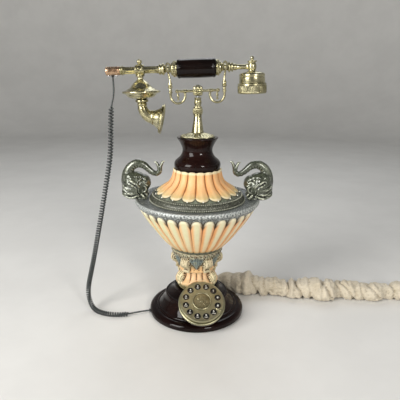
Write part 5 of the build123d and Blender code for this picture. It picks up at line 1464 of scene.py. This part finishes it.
def stem():
    prof = spline([(26.6, 78.2), (26.2, 75.0), (26.6, 71.0), (28.4, 67.0), (31.4, 63.4), (34.0, 60.2), (34.9, 57.6), (34.2, 54.8), (32.2, 51.4), (30.4, 48.4), (29.8, 46.0)], 60)
    P = np.vstack([[(0.0, 78.2)], prof, [(0.0, 46.0)]])

    def mod(R, Z, T):
        ph = np.abs(np.cos(T * 9))
        up = smoothstep(57.0, 63.0, Z) * (R > 20)
        low = smoothstep(58.0, 54.5, Z) * (R > 20)
        R = R + up * (1.5 * ph**0.7 - 0.7)
        R = R + low * (0.9 * np.abs(np.sin(T * 13 + Z * 0.22)) - 0.3)
        return R, Z

    base = lathe_arrays(P, 360, mod)
    parts, cols = [base], [lina((212, 174, 128))]
    cream = lina((214, 202, 164))
    for off in (-126, -54, 54, 126):
        a = math.radians(-90 + off)
        grp = scroll(30.0, 66.4, 6.6, 5.8)
        for t in (-3.4, 0, 3.4):
            st = spline([(t, 35.2, 69.6), (t, 32.4, 72.8), (t * 0.9, 29.4, 74.8), (t * 0.85, 27.8, 77.4)], 16)
            grp.append(tube_arrays(st, np.linspace(2.0, 1.5, 16), 10))
            th = np.linspace(-1.2, 0.9, 14)
            Q = np.stack([np.full(14, t), 30.0 + 6.6 * np.cos(th), 66.4 + 6.6 * np.sin(th)], -1)
            grp.append(tube_arrays(Q, 1.15, 10))
        # leaf cup under the volute
        for t, r, z in ((-4.6, 32.6, 58.6), (0, 34.4, 57.8), (4.6, 32.6, 58.6)):
            grp.append(ball_arrays((t, r, z), (2.9, 2.5, 3.6), 14, 9))
        for V, F in grp:
            parts.append((at_azimuth(V, a), F))
            cols.append(cream)
    o = remesh("carved_stem", parts, AGED_RESIN, 0.58, 1, cols, lambda P: 0.12 * pnoise(P, 0.5, 4))
    co = get_co(o.data) / MM
    d = (co - np.array([8.75, -62.0, 47.0])) @ DN
    lat = np.linalg.norm(co - np.array([8.75, -62.0, 47.0]) - d[:, None] * DN, axis=1)
    inside = (d > -12.25) & (lat < 37.2)
    co = co - np.where(inside, d + 12.25, 0)[:, None] * DN
    o.data.vertices.foreach_set("co", (co * MM).ravel())
    o.data.update()
    C = np.array([c.color[:3] for c in o.data.color_attributes["Col"].data])
    az = np.arctan2(co[:, 1], co[:, 0])
    ph = np.abs(np.cos(az * 9))
    reed = smoothstep(60, 64, co[:, 2]) * smoothstep(31.5, 29.5, np.hypot(co[:, 0], co[:, 1]))
    # painted highlight on the reed crests, painted shade in the grooves between them
    C = mixc(C, lina((224, 190, 150)), 0.6 * reed * ph)
    C = mixc(C, lina((168, 104, 52)), 0.75 * reed * (1 - ph) ** 2)
    mott = pnoise(co, 0.2, 6)
    # painted shade: mottled olive darkening of the stem's lower part, under the volutes
    underside_shade = mixc(lina((134, 132, 92)), lina((88, 86, 54)), 0.5 + 0.6 * mott)
    C = mixc(C, underside_shade, 0.85 * smoothstep(59.5, 54.5, co[:, 2] + 1.5 * mott))
    C = mixc(C, lina((168, 162, 122)), 0.4 * smoothstep(0.05, 0.6, pnoise(co, 0.14, 8)))
    set_colors(o, C)
    cavity(o, 12, 1.7)
    finish_piece(o, "base", "peach_resin", "pedestal_stem")


# ------------------------------------------------------------------ dolphin handles
def line_distance(X, Z, pts):
    d = np.full(X.shape, 1e9)
    for (x0, z0), (x1, z1) in zip(pts[:-1], pts[1:]):
        vx, vz = x1 - x0, z1 - z0
        t = np.clip(((X - x0) * vx + (Z - z0) * vz) / (vx * vx + vz * vz), 0, 1)
        d = np.minimum(d, np.hypot(X - x0 - t * vx, Z - z0 - t * vz))
    return d


def dolphin():
    parts = []
    for c, r in (((-96.5, 0, 215.5), (20.5, 17.5, 21.5)), ((-107.5, 0, 204.5), (11.0, 13.5, 10.5)), ((-84.0, 0, 219.5), (11.5, 13.5, 13.0)), ((-91.5, 0, 201.0), (14.0, 12.5, 8.5)), ((-103.0, 0, 227.0), (12.5, 13.0, 11.0))):
        parts.append(ball_arrays(c, r, 40, 26))
    # body: smooth back, ribbed belly
    P = spline([(-110.4, 0, 205.0), (-110.0, 0, 217.0), (-108.6, 0, 230.0), (-104.6, 0, 241.0), (-97.6, 0, 247.4), (-90.0, 0, 248.9), (-83.0, 0, 246.4), (-76.4, 0, 240.8), (-70.6, 0, 236.0), (-65.0, 0, 233.8), (-60.2, 0, 235.0), (-58.0, 0, 240.0)], 110)
    rad = np.interp(np.linspace(0, 1, 110), [0, 0.25, 0.45, 0.6, 0.75, 0.9, 1], [7.6, 7.6, 7.1, 6.5, 5.0, 4.2, 3.6])

    def ribbed(rr, a):
        n = len(rr)
        i = np.arange(n)[:, None]
        belly = smoothstep(0.15, -0.5, np.sin(a))[None, :]
        crest = np.exp(-(((a - PI / 2) / 0.3) ** 2))[None, :]
        return rr * (1 + 0.085 * np.cos(i * 1.05) * belly - 0.06 * belly + 0.05 * crest)

    parts.append(tube_arrays(P, rad, 40, squash=(0.92, 1.0), ring=ribbed))
    # fin ridge along the back of the head
    parts.append(tube_arrays(spline([(-117.0, 0, 212.0), (-117.4, 0, 224.0), (-114.4, 0, 237.0), (-107.0, 0, 248.6), (-97.0, 0, 254.0)], 40), np.interp(np.linspace(0, 1, 40), [0, 0.5, 1], [1.2, 1.8, 0.9]), 12, squash=(0.8, 1.0)))
    # forked tail, each lobe a flattened blade with a curled tip
    for pts in ([(-58.8, 0, 238.0), (-60.0, 0, 243.0), (-61.6, 0, 247.6), (-64.2, 0, 251.8), (-67.0, 0, 252.4)], [(-57.8, 0, 238.0), (-57.2, 0, 243.0), (-55.8, 0, 248.0), (-53.4, 0, 252.6), (-50.6, 0, 253.2)]):
        parts.append(tube_arrays(spline(pts, 30), np.interp(np.linspace(0, 1, 30), [0, 0.3, 0.75, 1], [3.5, 3.0, 2.5, 1.0]), 14, squash=(1.3, 0.9)))
    for s in (-1, 1):
        # brow, eye, cheek scroll and whiskers stand proud on both sides
        parts.append(tube_arrays(spline([(-104.5, s * 15.6, 225.4), (-99.0, s * 17.0, 224.0), (-93.0, s * 17.0, 219.8), (-88.6, s * 15.8, 214.6)], 24), np.interp(np.linspace(0, 1, 24), [0, 0.5, 1], [1.2, 2.2, 1.2]), 12))
        parts.append(ball_arrays((-98.4, s * 16.6, 218.4), (3.0, 2.6, 2.6), 16, 12))
        th = np.linspace(0, 3.2 * PI, 50)
        q = 7.6 - 5.4 * th / th[-1]
        parts.append(tube_arrays(np.stack([-83.6 + q * np.cos(th + 0.6), s * (12.6 - 0.16 * (q - 4)), 212.4 + 1.05 * q * np.sin(th + 0.6)], -1), 1.55, 10))
        for pts in ([(-92.0, 206.0), (-100.0, 203.6), (-108.0, 205.4), (-115.0, 210.4)], [(-90.4, 201.4), (-99.0, 198.4), (-108.0, 198.4), (-116.4, 202.4)], [(-93.0, 210.4), (-101.0, 209.4), (-108.6, 211.6), (-114.6, 217.0)], [(-85.6, 203.6), (-83.0, 200.0), (-82.6, 196.6), (-85.4, 194.6)]):
            y = s * np.array([14.2, 14.4, 12.6, 8.2])
            Q = spline([(p[0], yy, p[1]) for p, yy in zip(pts, y)], 22)
            parts.append(tube_arrays(Q, np.interp(np.linspace(0, 1, 22), [0, 0.5, 1], [1.5, 2.1, 1.3]), 10))
        # curled lip over the rim
        parts.append(tube_arrays(spline([(-82.0, s * 9.6, 205.4), (-78.8, s * 9.4, 200.8), (-80.2, s * 9.2, 196.6), (-85.0, s * 9.4, 195.4), (-92.0, s * 10.6, 196.0), (-101.0, s * 10.0, 196.4)], 34), 2.1, 12))

    def carve(P):
        X, Y, Z = P[:, 0], P[:, 1], P[:, 2]
        head = smoothstep(236.5, 230.0, Z) * smoothstep(-71.0, -76.0, X)
        side = smoothstep(3.5, 8.0, np.abs(Y)) * head
        d = np.hypot(X + 85.0, Z - 211.0)
        phi = np.arctan2(Z - 211.0, X + 85.0)
        fan = 0.26 * np.cos(phi * 17 + d * 0.16) * smoothstep(9.0, 14.0, d) * smoothstep(36.0, 26.0, d)
        out = fan * side
        for pts, w, k in (([(-104.6, 223.4), (-99.6, 221.4), (-94.6, 217.2), (-91.8, 213.4)], 0.9, 1.3), ([(-113.0, 217.6), (-107.0, 214.8), (-102.6, 213.8)], 0.9, 1.1), ([(-116.0, 206.6), (-109.6, 204.6)], 0.8, 1.0), ([(-89.6, 222.8), (-84.6, 226.4), (-79.4, 224.4)], 0.9, 0.9), ([(-96.6, 229.6), (-89.0, 229.8), (-81.4, 226.6)], 0.9, 0.9), ([(-92.0, 212.0), (-91.4, 206.0), (-88.6, 201.6)], 0.9, 1.2)):
            out -= k * np.exp(-((line_distance(X, Z, pts) / w) ** 2)) * side
        out += 0.16 * pnoise(P, 0.35, 1) * head + 0.07 * pnoise(P, 0.9, 2)
        return out

    o = remesh("dolphin_handle_left", parts, VERDI, 0.6, 2, None, carve)
    co = get_co(o.data) / MM
    # keep the underside clear of the rim it stands on
    r = np.hypot(co[:, 0], co[:, 1])
    seat = np.interp(r, [60, 78, 90, 94.5, 96.4, 98.2, 99.0], [194.0, 194.2, 195.5, 196.7, 196.6, 195.2, 193.4])
    low = (co[:, 2] < seat) & (r < 98.4)
    co[low, 2] = seat[low]
    o.data.vertices.foreach_set("co", (co * MM).ravel())
    o.data.update()
    cavity(o, 10, 0.62)
    # painted highlight: the smooth back of the fish is made paler on either side of its crest
    t = np.linalg.norm(co[:, None, :] - P[None, ::3, :], axis=2)
    i = t.argmin(1) * 3
    off = co - P[i]
    ctr = np.array([-90.0, 0, 226.0])
    out = P[i] - ctr
    out /= np.linalg.norm(out, axis=1)[:, None]
    ang = np.degrees(np.arctan2(np.abs(off[:, 1]), (off * out).sum(1)))
    crest_highlight = np.exp(-(((ang - 52) / 26.0) ** 2)) * smoothstep(9.6, 8.6, t.min(1)) * smoothstep(14, 26, i) * smoothstep(66, 52, i)
    at = o.data.attributes["Cav"]
    v = np.array([q.value for q in at.data])
    # crest_highlight raises the Cav value, which the verdigris material turns into its light colour as a painted
    # highlight
    v = np.clip(v + crest_highlight * (0.16 + 0.1 * pnoise(co, 0.5, 7)), 0, 1)
    at.data.foreach_set("value", v)
    finish_piece(o, "base", "verdigris_resin", "handle_left")
    me = o.data.copy()
    me.name = "dolphin_handle_right"
    c2 = get_co(me)
    c2[:, :2] *= -1
    me.vertices.foreach_set("co", c2.ravel())
    me.update()
    q = bpy.data.objects.new("dolphin_handle_right", me)
    scene.collection.objects.link(q)
    finish_piece(q, "base", "verdigris_resin", "handle_right")


capital()
stem()
dolphin()


# ------------------------------------------------------------------ gathered fabric sleeve
# section along x: middle y, half height of a tube of cloth lying on the table
SLEEVE = [
    (26.0, 106.0, 5.0), (37.6, 101.0, 5.6), (45.7, 88.0, 9.6), (53.0, 80.0, 12.2), (60.2, 73.5, 14.0), (70.7, 65.5, 14.7), (77.8, 61.0, 15.5), (84.7, 57.6, 16.9), (90.0, 55.4, 18.0), (95.3, 54.2, 19.4),
    (98.9, 53.8, 18.8), (103.5, 52.9, 15.7), (108.3, 55.0, 14.9), (114.0, 60.5, 12.6), (117.9, 57.2, 13.4), (121.7, 52.6, 14.5), (127.1, 52.8, 13.8), (132.5, 58.8, 12.5), (136.2, 56.0, 13.1), (140.9, 53.8, 14.1),
    (148.2, 53.4, 13.1), (153.6, 52.4, 12.4), (159.8, 47.7, 12.7), (165.9, 43.7, 11.3), (171.0, 42.1, 14.7), (178.1, 42.1, 11.7), (183.9, 43.6, 13.9), (190.6, 47.3, 14.4), (196.2, 45.2, 16.0), (204.9, 46.6, 15.3),
    (211.3, 39.6, 17.4), (217.5, 36.9, 17.2), (221.8, 35.4, 13.3), (226.3, 35.8, 15.8), (235.2, 36.0, 14.9), (242.5, 39.5, 14.7), (249.5, 48.1, 11.9), (257.6, 48.6, 13.2), (265.2, 43.3, 13.5), (273.0, 41.0, 14.2),
    (280.2, 45.0, 13.1), (287.3, 40.8, 13.8), (296.3, 39.4, 12.6), (303.1, 36.5, 11.2), (309.6, 35.1, 12.4), (321.7, 37.9, 12.9), (334.3, 44.4, 11.4), (346.1, 42.4, 10.9), (355.4, 40.7, 13.4), (362.5, 41.0, 14.2), (384.0, 41.4, 13.4),
]
# creases: x where each crosses the top and where it reaches the table, depth, width
CREASES = [
    (68.0, 79.0, 0.9, 3.4), (86.0, 92.0, 1.4, 2.6), (103.2, 114.6, 3.6, 2.6), (98.5, 104.0, 1.0, 2.0), (121.0, 132.6, 3.0, 2.6), (138.0, 143.0, 1.1, 2.2), (152.0, 150.0, 1.2, 2.6), (165.6, 161.5, 2.8, 2.4),
    (178.1, 190.8, 3.2, 2.6), (186.0, 196.0, 1.2, 2.2), (200.0, 205.0, 1.4, 2.4), (221.8, 249.0, 3.2, 3.0), (228.0, 240.0, 1.4, 2.2), (246.0, 262.0, 1.8, 2.4), (258.0, 281.0, 2.8, 2.6), (270.0, 276.0, 1.2, 2.2), (290.0, 296.0, 1.2, 2.2),
    (303.1, 334.0, 3.0, 3.0), (316.0, 326.0, 1.2, 2.4), (346.0, 352.0, 2.6, 2.8), (366.0, 372.0, 1.8, 2.6),
]


def sleeve():
    route = centreline(COVER)
    X0, X1, n, m = 26.5, 383.5, 640, 132
    tab = np.array(SLEEVE)
    x = np.linspace(X0, X1, n)
    order = np.argsort(route[:, 0])
    yr = np.interp(x, route[order, 0], route[order, 1])
    yc = np.interp(x, tab[:, 0], tab[:, 1])
    hz = np.interp(x, tab[:, 0], tab[:, 2])

    def soft(v, mm):
        k = int(round(mm / (x[1] - x[0])))
        w = np.exp(-np.linspace(-2, 2, 4 * k + 1) ** 2)
        w /= w.sum()
        return np.convolve(np.pad(v, 2 * k, mode="edge"), w, mode="valid")

    front, top = yc - 1.2 * hz, 0.9 + 2 * hz
    front_s, top_s = soft(front, 9.0), soft(top, 7.0)
    front_f, top_f = soft(front, 1.6), soft(top, 1.2)
    back = np.maximum(soft(yc + 1.2 * hz, 9.0) - 5.0 * smoothstep(120, 70, x), yr + 5.0 + 6.0 * smoothstep(60, 130, x))
    T = np.gradient(np.stack([x, yr], -1), axis=0)
    T /= np.linalg.norm(T, axis=1)[:, None]
    N = np.stack([T[:, 1], -T[:, 0]], -1)  # towards the viewer's side
    slant = np.abs(N[:, 1])
    th = np.arange(m) * 2 * PI / m
    Xg, TH = np.meshgrid(x, th, indexing="ij")
    c, s = np.cos(TH), np.sin(TH)
    # broad on the table, rounder above
    e = np.where(s < 0, 0.62, 0.86)
    sc = np.sign(c) * np.abs(c) ** 0.9
    ss = np.sign(s) * np.abs(s) ** e
    mid, half = (front_s + back) / 2, (back - front_s) / 2
    hzs = (top_s - 0.9) / 2
    u = (yr - mid)[:, None] * slant[:, None] + half[:, None] * slant[:, None] * sc
    z = 0.9 + hzs[:, None] * (1 + ss)
    # what the fine outline adds, only where it shows
    z = z + (top_f - top_s)[:, None] * np.clip(s, 0, 1) ** 1.2
    u = u - (front_f - front_s)[:, None] * np.clip(np.cos(TH + 0.5), 0, 1) ** 1.6 * slant[:, None]
    # creases run askew over the front and come back up behind
    d = np.zeros_like(Xg)
    for k, (xt, xb, dep, w) in enumerate(CREASES):
        t = np.interp(TH, [0, PI / 2, PI * 1.15, PI * 1.5, PI * 1.72, 2 * PI], [0.52, 0.0, 0.6, 1.3, 1.0, 0.52])
        line = xt + (xb - xt) * t + 1.6 * np.sin(TH * 2.0 + k)
        g = (Xg - line) / w
        d += -1.35 * dep * np.exp(-g * g) * (0.78 + 0.22 * np.sin(TH + k * 1.7))
        d += 0.42 * dep * np.exp(-(((Xg - line - 2.3 * w) / (1.3 * w)) ** 2)) + 0.3 * dep * np.exp(-(((Xg - line + 2.3 * w) / (1.3 * w)) ** 2))
    P3 = np.stack([Xg * 0.36, 7.0 * c + 0.12 * Xg, 7.0 * s], -1).reshape(-1, 3)
    r1 = 1 - 2.2 * np.abs(pnoise(P3, 0.30, 3, 2))
    r2 = 1 - 2.2 * np.abs(pnoise(P3 * np.array([1.6, 0.7, 0.7]), 0.62, 9, 2))
    soft_n = pnoise(P3, 0.12, 5, 2)
    grow = smoothstep(26, 60, Xg)
    d += (0.95 * r1.reshape(n, m) + 0.3 * r2.reshape(n, m) + 1.5 * soft_n.reshape(n, m)) * (0.35 + 0.65 * grow)
    d = np.clip(d, -6.0, 3.0)
    u = u - d * c * 0.0 + d * (-c) * -1.0
    z = z + d * s
    z = np.maximum(z, 0.75 + 0.12 * np.abs(soft_n.reshape(n, m)))
    V = np.stack([Xg + N[:, :1] * u, yr[:, None] + N[:, 1:] * u, z], -1)
    # keep the ends square to the route and inside the room the cover has
    V[..., 0] = np.clip(V[..., 0], 22.0, 386.0)
    F = [tuple(f) for f in grid_faces(n, m)]
    o = obj_from("gathered_sleeve", V.reshape(-1, 3), F, LINEN, sharp=None, fix=False)
    me = o.data
    bm = bmesh.new()
    bm.from_mesh(me)
    bmesh.ops.recalc_face_normals(bm, faces=bm.faces)
    bm.to_mesh(me)
    bm.free()
    uv = me.uv_layers.new(name="UVMap")
    length = np.concatenate([[0], np.cumsum(np.hypot(np.diff(x), np.diff(yr)))]) * 1.25 * MM
    loops = np.zeros(len(me.loops), int)
    me.loops.foreach_get("vertex_index", loops)
    li, lj = loops // m, loops % m
    # the seam column is wrapped per face so the weave does not run backwards
    jj = lj.reshape(-1, 4).astype(float)
    wrap = (jj.max(1) - jj.min(1)) > m / 2
    jj[wrap] = np.where(jj[wrap] == 0, m, jj[wrap])
    data = np.stack([length[li], jj.ravel() / m * 0.108], -1)
    uv.data.foreach_set("uv", data.ravel())
    cavity(o, 16, 1.0)
    sol = o.modifiers.new("cloth_thickness", "SOLIDIFY")
    sol.thickness = 0.0009
    sol.offset = -1.0
    for pgn in me.polygons:
        pgn.use_smooth = True
    finish_piece(o, "base", "linen", "cord_cover")
    return o


# ------------------------------------------------------------------ neck disc and cradle stem
NECK_Z, DISC_H, STEM_TOP = 291.0, 3.5, 349.5


def crown():
    top, up = NECK_Z, NECK_Z + DISC_H
    prof = rounded([(5.6, top), (25.2, top), (26.1, top + 0.9), (25.9, top + 1.7), (24.2, top + 2.2), (21.6, top + 2.6), (17.6, top + 4.2), (13.6, top + 5.9), (11.2, top + 6.7), (10.2, top + 6.9), (9.6, top + 6.2), (9.6, top + 2.0), (5.6, top + 2.0)], 0.35)

    def mod(R, Z, T):
        leaf = np.exp(-(((R - 17.6) / 4.0) ** 2)) * (Z > top + 2.3)
        Z = Z + leaf * (0.95 * np.abs(np.cos(T * 10)) ** 0.7 - 0.4)
        edge = np.exp(-(((R - 26.0) / 0.7) ** 2))
        R = R + edge * 0.22 * np.cos(T * 72)
        return R, Z

    V, F = lathe_arrays(dense(prof, 0.7, closed=True), 288, mod, closed=True)
    parts = [(V, F)]
    for k in range(36):
        a = 2 * PI * k / 36
        parts.append(ball_arrays((23.4 * math.cos(a), 23.4 * math.sin(a), top + 2.35), 0.85, 12, 8))
    V, F = merge(parts)
    o = obj_from("neck_crown", V, F, BRASS_CAV, sharp=32, fix=False)
    cavity(o, 8, 1.0)
    finish_piece(o, "base", "antique_brass", "neck_disc")


def column():
    z0 = NECK_Z + DISC_H
    b = 2.6
    prof = [(b, z0), (10.3, z0), (10.6, z0 + 0.8), (10.2, z0 + 1.6), (9.4, z0 + 1.9), (9.3, z0 + 2.4), (9.7, z0 + 3.0), (9.1, z0 + 3.9), (8.6, 302.0), (7.9, 306.5), (7.2, 311.4), (6.5, 316.0), (6.0, 320.4), (5.7, 323.0), (6.4, 323.5), (6.8, 324.1), (6.6, 324.9), (6.1, 325.3), (7.0, 325.9), (7.2, 326.8), (7.2, 332.6), (7.0, 333.5), (6.1, 334.0), (6.3, 334.6), (6.4, 335.5), (6.2, 336.4), (4.9, 336.9), (b, 337.2)]
    P = np.array(prof)

    def mod(R, Z, T):
        kn = (Z > 325.8) & (Z < 333.6) & (R > 6.8)
        R = R + kn * (0.28 * np.sign(np.cos(T * 26)) * np.abs(np.cos(T * 26)) ** 0.5 * np.sin(np.clip((Z - 326.0) / 7.4, 0, 1) * PI) ** 0.4)
        return R, Z

    V, F = lathe_arrays(dense(np.vstack([P, P[:1]])[:-1], 0.6, closed=True), 260, mod, closed=True)
    o = obj_from("cradle_column", V, F, BRASS_CAV, sharp=32, fix=False)
    cavity(o, 8, 0.8)
    # ball joint above the knurled ring stays a separate turned collar on the same column
    th2 = np.linspace(-1.05, 1.05, 15)
    ball = [(b, 337.0), (4.7, 337.3)] + [(3.9 + 1.65 * math.cos(t), 342.2 + 3.9 * math.sin(t)) for t in th2] + [(4.8, 346.4), (4.8, 347.4), (5.2, 348.0), (5.25, STEM_TOP), (b, STEM_TOP)]
    V, F = lathe_arrays(dense(ball, 0.5, closed=True), 96, closed=True)
    q = obj_from("cradle_ball_collar", V, F, BRASS_CAV, sharp=32, fix=False)
    cavity(q, 8, 0.8)
    finish_piece(q, "base", "antique_brass")
    finish_piece(o, "base", "antique_brass", "cradle_stem")


def joint_block():
    lo, hi = (np.array(v[:]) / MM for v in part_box("cradle_block"))
    c, h = (lo + hi) / 2, (hi - lo) / 2
    h[1] -= 0.9
    parts = []
    # cushion shaped body: a box swollen towards a ball
    V, F = ball_arrays((0, 0, 0), (1, 1, 1), 64, 44)
    V = np.asarray(V, float)
    p = 5.0
    k = (np.abs(V) ** p).sum(1) ** (1 / p)
    parts.append((c + V / k[:, None] * (h + 0.25), F))
    for side in (-1, 1):
        M = frame4((c[0], c[1] + side * (h[1] - 0.3), c[2]), (1, 0, 0), (0, 0, side), (0, side, 0))

        def petals(R, Z, T):
            on = (R > 1.6) & (R < 5.9) & (Z > 0.4)
            return R * np.where(R > 4.2, 1 + 0.09 * np.cos(T * 8), 1), Z + on * 0.45 * np.abs(np.cos(T * 4)) ** 0.6

        prof = dense([(0, 2.6), (0.9, 2.5), (1.5, 1.9), (1.9, 1.1), (3.2, 1.6), (4.6, 1.3), (5.5, 0.7), (5.9, 0.0), (0, 0.0)], 0.35)
        parts.append(lathe_arrays(prof, 128, petals, M))
    top = frame4((c[0], c[1], c[2] + h[2]), (1, 0, 0), (0, 1, 0), (0, 0, 1))
    parts.append(lathe_arrays(rounded([(0, 1.7), (2.6, 1.4), (3.6, 0.6), (4.0, -0.4), (0, -0.4)], 0.3), 48, M=top))
    o = obj_from("cradle_joint_block", *merge(parts), BRASS_CAV, sharp=50, fix=False)
    cavity(o, 6, 1.0)
    finish_piece(o, "cradle", "antique_brass", "cradle_block")


sleeve()
crown()
column()
joint_block()


# ------------------------------------------------------------------ carried-over parts
for name, mat in (
    ("foot_pad", FELT), ("base_plate", STEEL), ("base_screws", STEEL), ("circuit_board", BOARD), ("cord_grommets", BLACK),
    ("dial_face", DIAL_BRASS), ("key_board", BOARD), ("tie_rod", STEEL), ("hook_microswitch", BLACK), ("hook_plunger", STEEL),
    ("plunger_spring", STEEL), ("mic_capsule", BLACK), ("speaker_capsule", BLACK), ("neck", LACQUER),
    ("cradle_bar", BRASS), ("hook_left", BRASS), ("hook_right", BRASS),
   
):
    paint_node(name, mat)


# ------------------------------------------------------------------ stage
def stage():
    # round studio cove: a flat floor that sweeps up into a low wall all round
    prof = [(0.0, 0.0), (0.4, 0.0), (0.9, 0.0), (1.6, 0.0), (2.3, 0.0)]
    for k in range(1, 15):
        a = k / 14 * PI / 2
        prof.append((2.3 + 0.9 * math.sin(a), 0.9 - 0.9 * math.cos(a)))
    prof += [(3.2, 1.2), (3.2, 1.5)]
    V, F = lathe_arrays(prof, 128)
    me = bpy.data.meshes.new("floor")
    me.from_pydata([tuple(v) for v in V.tolist()], [], [tuple(int(i) for i in f) for f in F])
    me.polygons.foreach_set("use_smooth", [True] * len(me.polygons))
    floor = bpy.data.objects.new("floor", me)
    scene.collection.objects.link(floor)
    m = Mat("pale_floor")
    col = m.mix(m.ramp(m.noise(6, 4, 0.6), 0.3, 0.7), lin(226, 225, 222), lin(220, 219, 216))
    m.set(Base_Color=col, Roughness=0.62)
    me.materials.append(m.m)
    floor.location.z = -0.0002
    world = bpy.data.worlds.new("studio")
    scene.world = world
    world.use_nodes = True
    t = world.node_tree
    t.nodes.clear()
    out = t.nodes.new("ShaderNodeOutputWorld")
    bg = t.nodes.new("ShaderNodeBackground")
    tc = t.nodes.new("ShaderNodeTexCoord")
    sep = t.nodes.new("ShaderNodeSeparateXYZ")
    mr = t.nodes.new("ShaderNodeMapRange")
    mix = t.nodes.new("ShaderNodeMix")
    mix.data_type = "RGBA"
    t.links.new(tc.outputs["Generated"], sep.inputs[0])
    t.links.new(sep.outputs["Z"], mr.inputs["Value"])
    mr.inputs["From Min"].default_value = 0.0
    mr.inputs["From Max"].default_value = 0.9
    t.links.new(mr.outputs["Result"], mix.inputs["Factor"])
    mix.inputs[6].default_value = (0.86, 0.86, 0.85, 1)
    mix.inputs[7].default_value = (0.16, 0.165, 0.17, 1)
    t.links.new(mix.outputs[2], bg.inputs[0])
    bg.inputs[1].default_value = 0.6
    t.links.new(bg.outputs[0], out.inputs[0])

    def area(name, loc, target, size, power, col=(1, 1, 1), sy=None):
        d = bpy.data.lights.new(name, "AREA")
        d.shape = "RECTANGLE" if sy else "SQUARE"
        d.size = size
        if sy:
            d.size_y = sy
        d.energy = power
        d.color = col
        o = bpy.data.objects.new(name, d)
        scene.collection.objects.link(o)
        o.location = loc
        o.rotation_euler = (Vector(target) - Vector(loc)).to_track_quat("-Z", "Y").to_euler()

    area("key_left", (-1.2, -1.05, 0.92), (0, 0, 0.2), 0.8, 34, (1.0, 0.985, 0.96), 1.2)
    area("fill_right", (0.75, -1.45, 0.82), (0, 0, 0.2), 0.4, 14, (1.0, 0.97, 0.93))
    area("top_back", (0.1, 1.1, 1.5), (0, 0, 0.2), 1.0, 7, (0.95, 0.98, 1.0))


scene.view_settings.view_transform = "Standard"
scene.view_settings.look = "None"
stage()
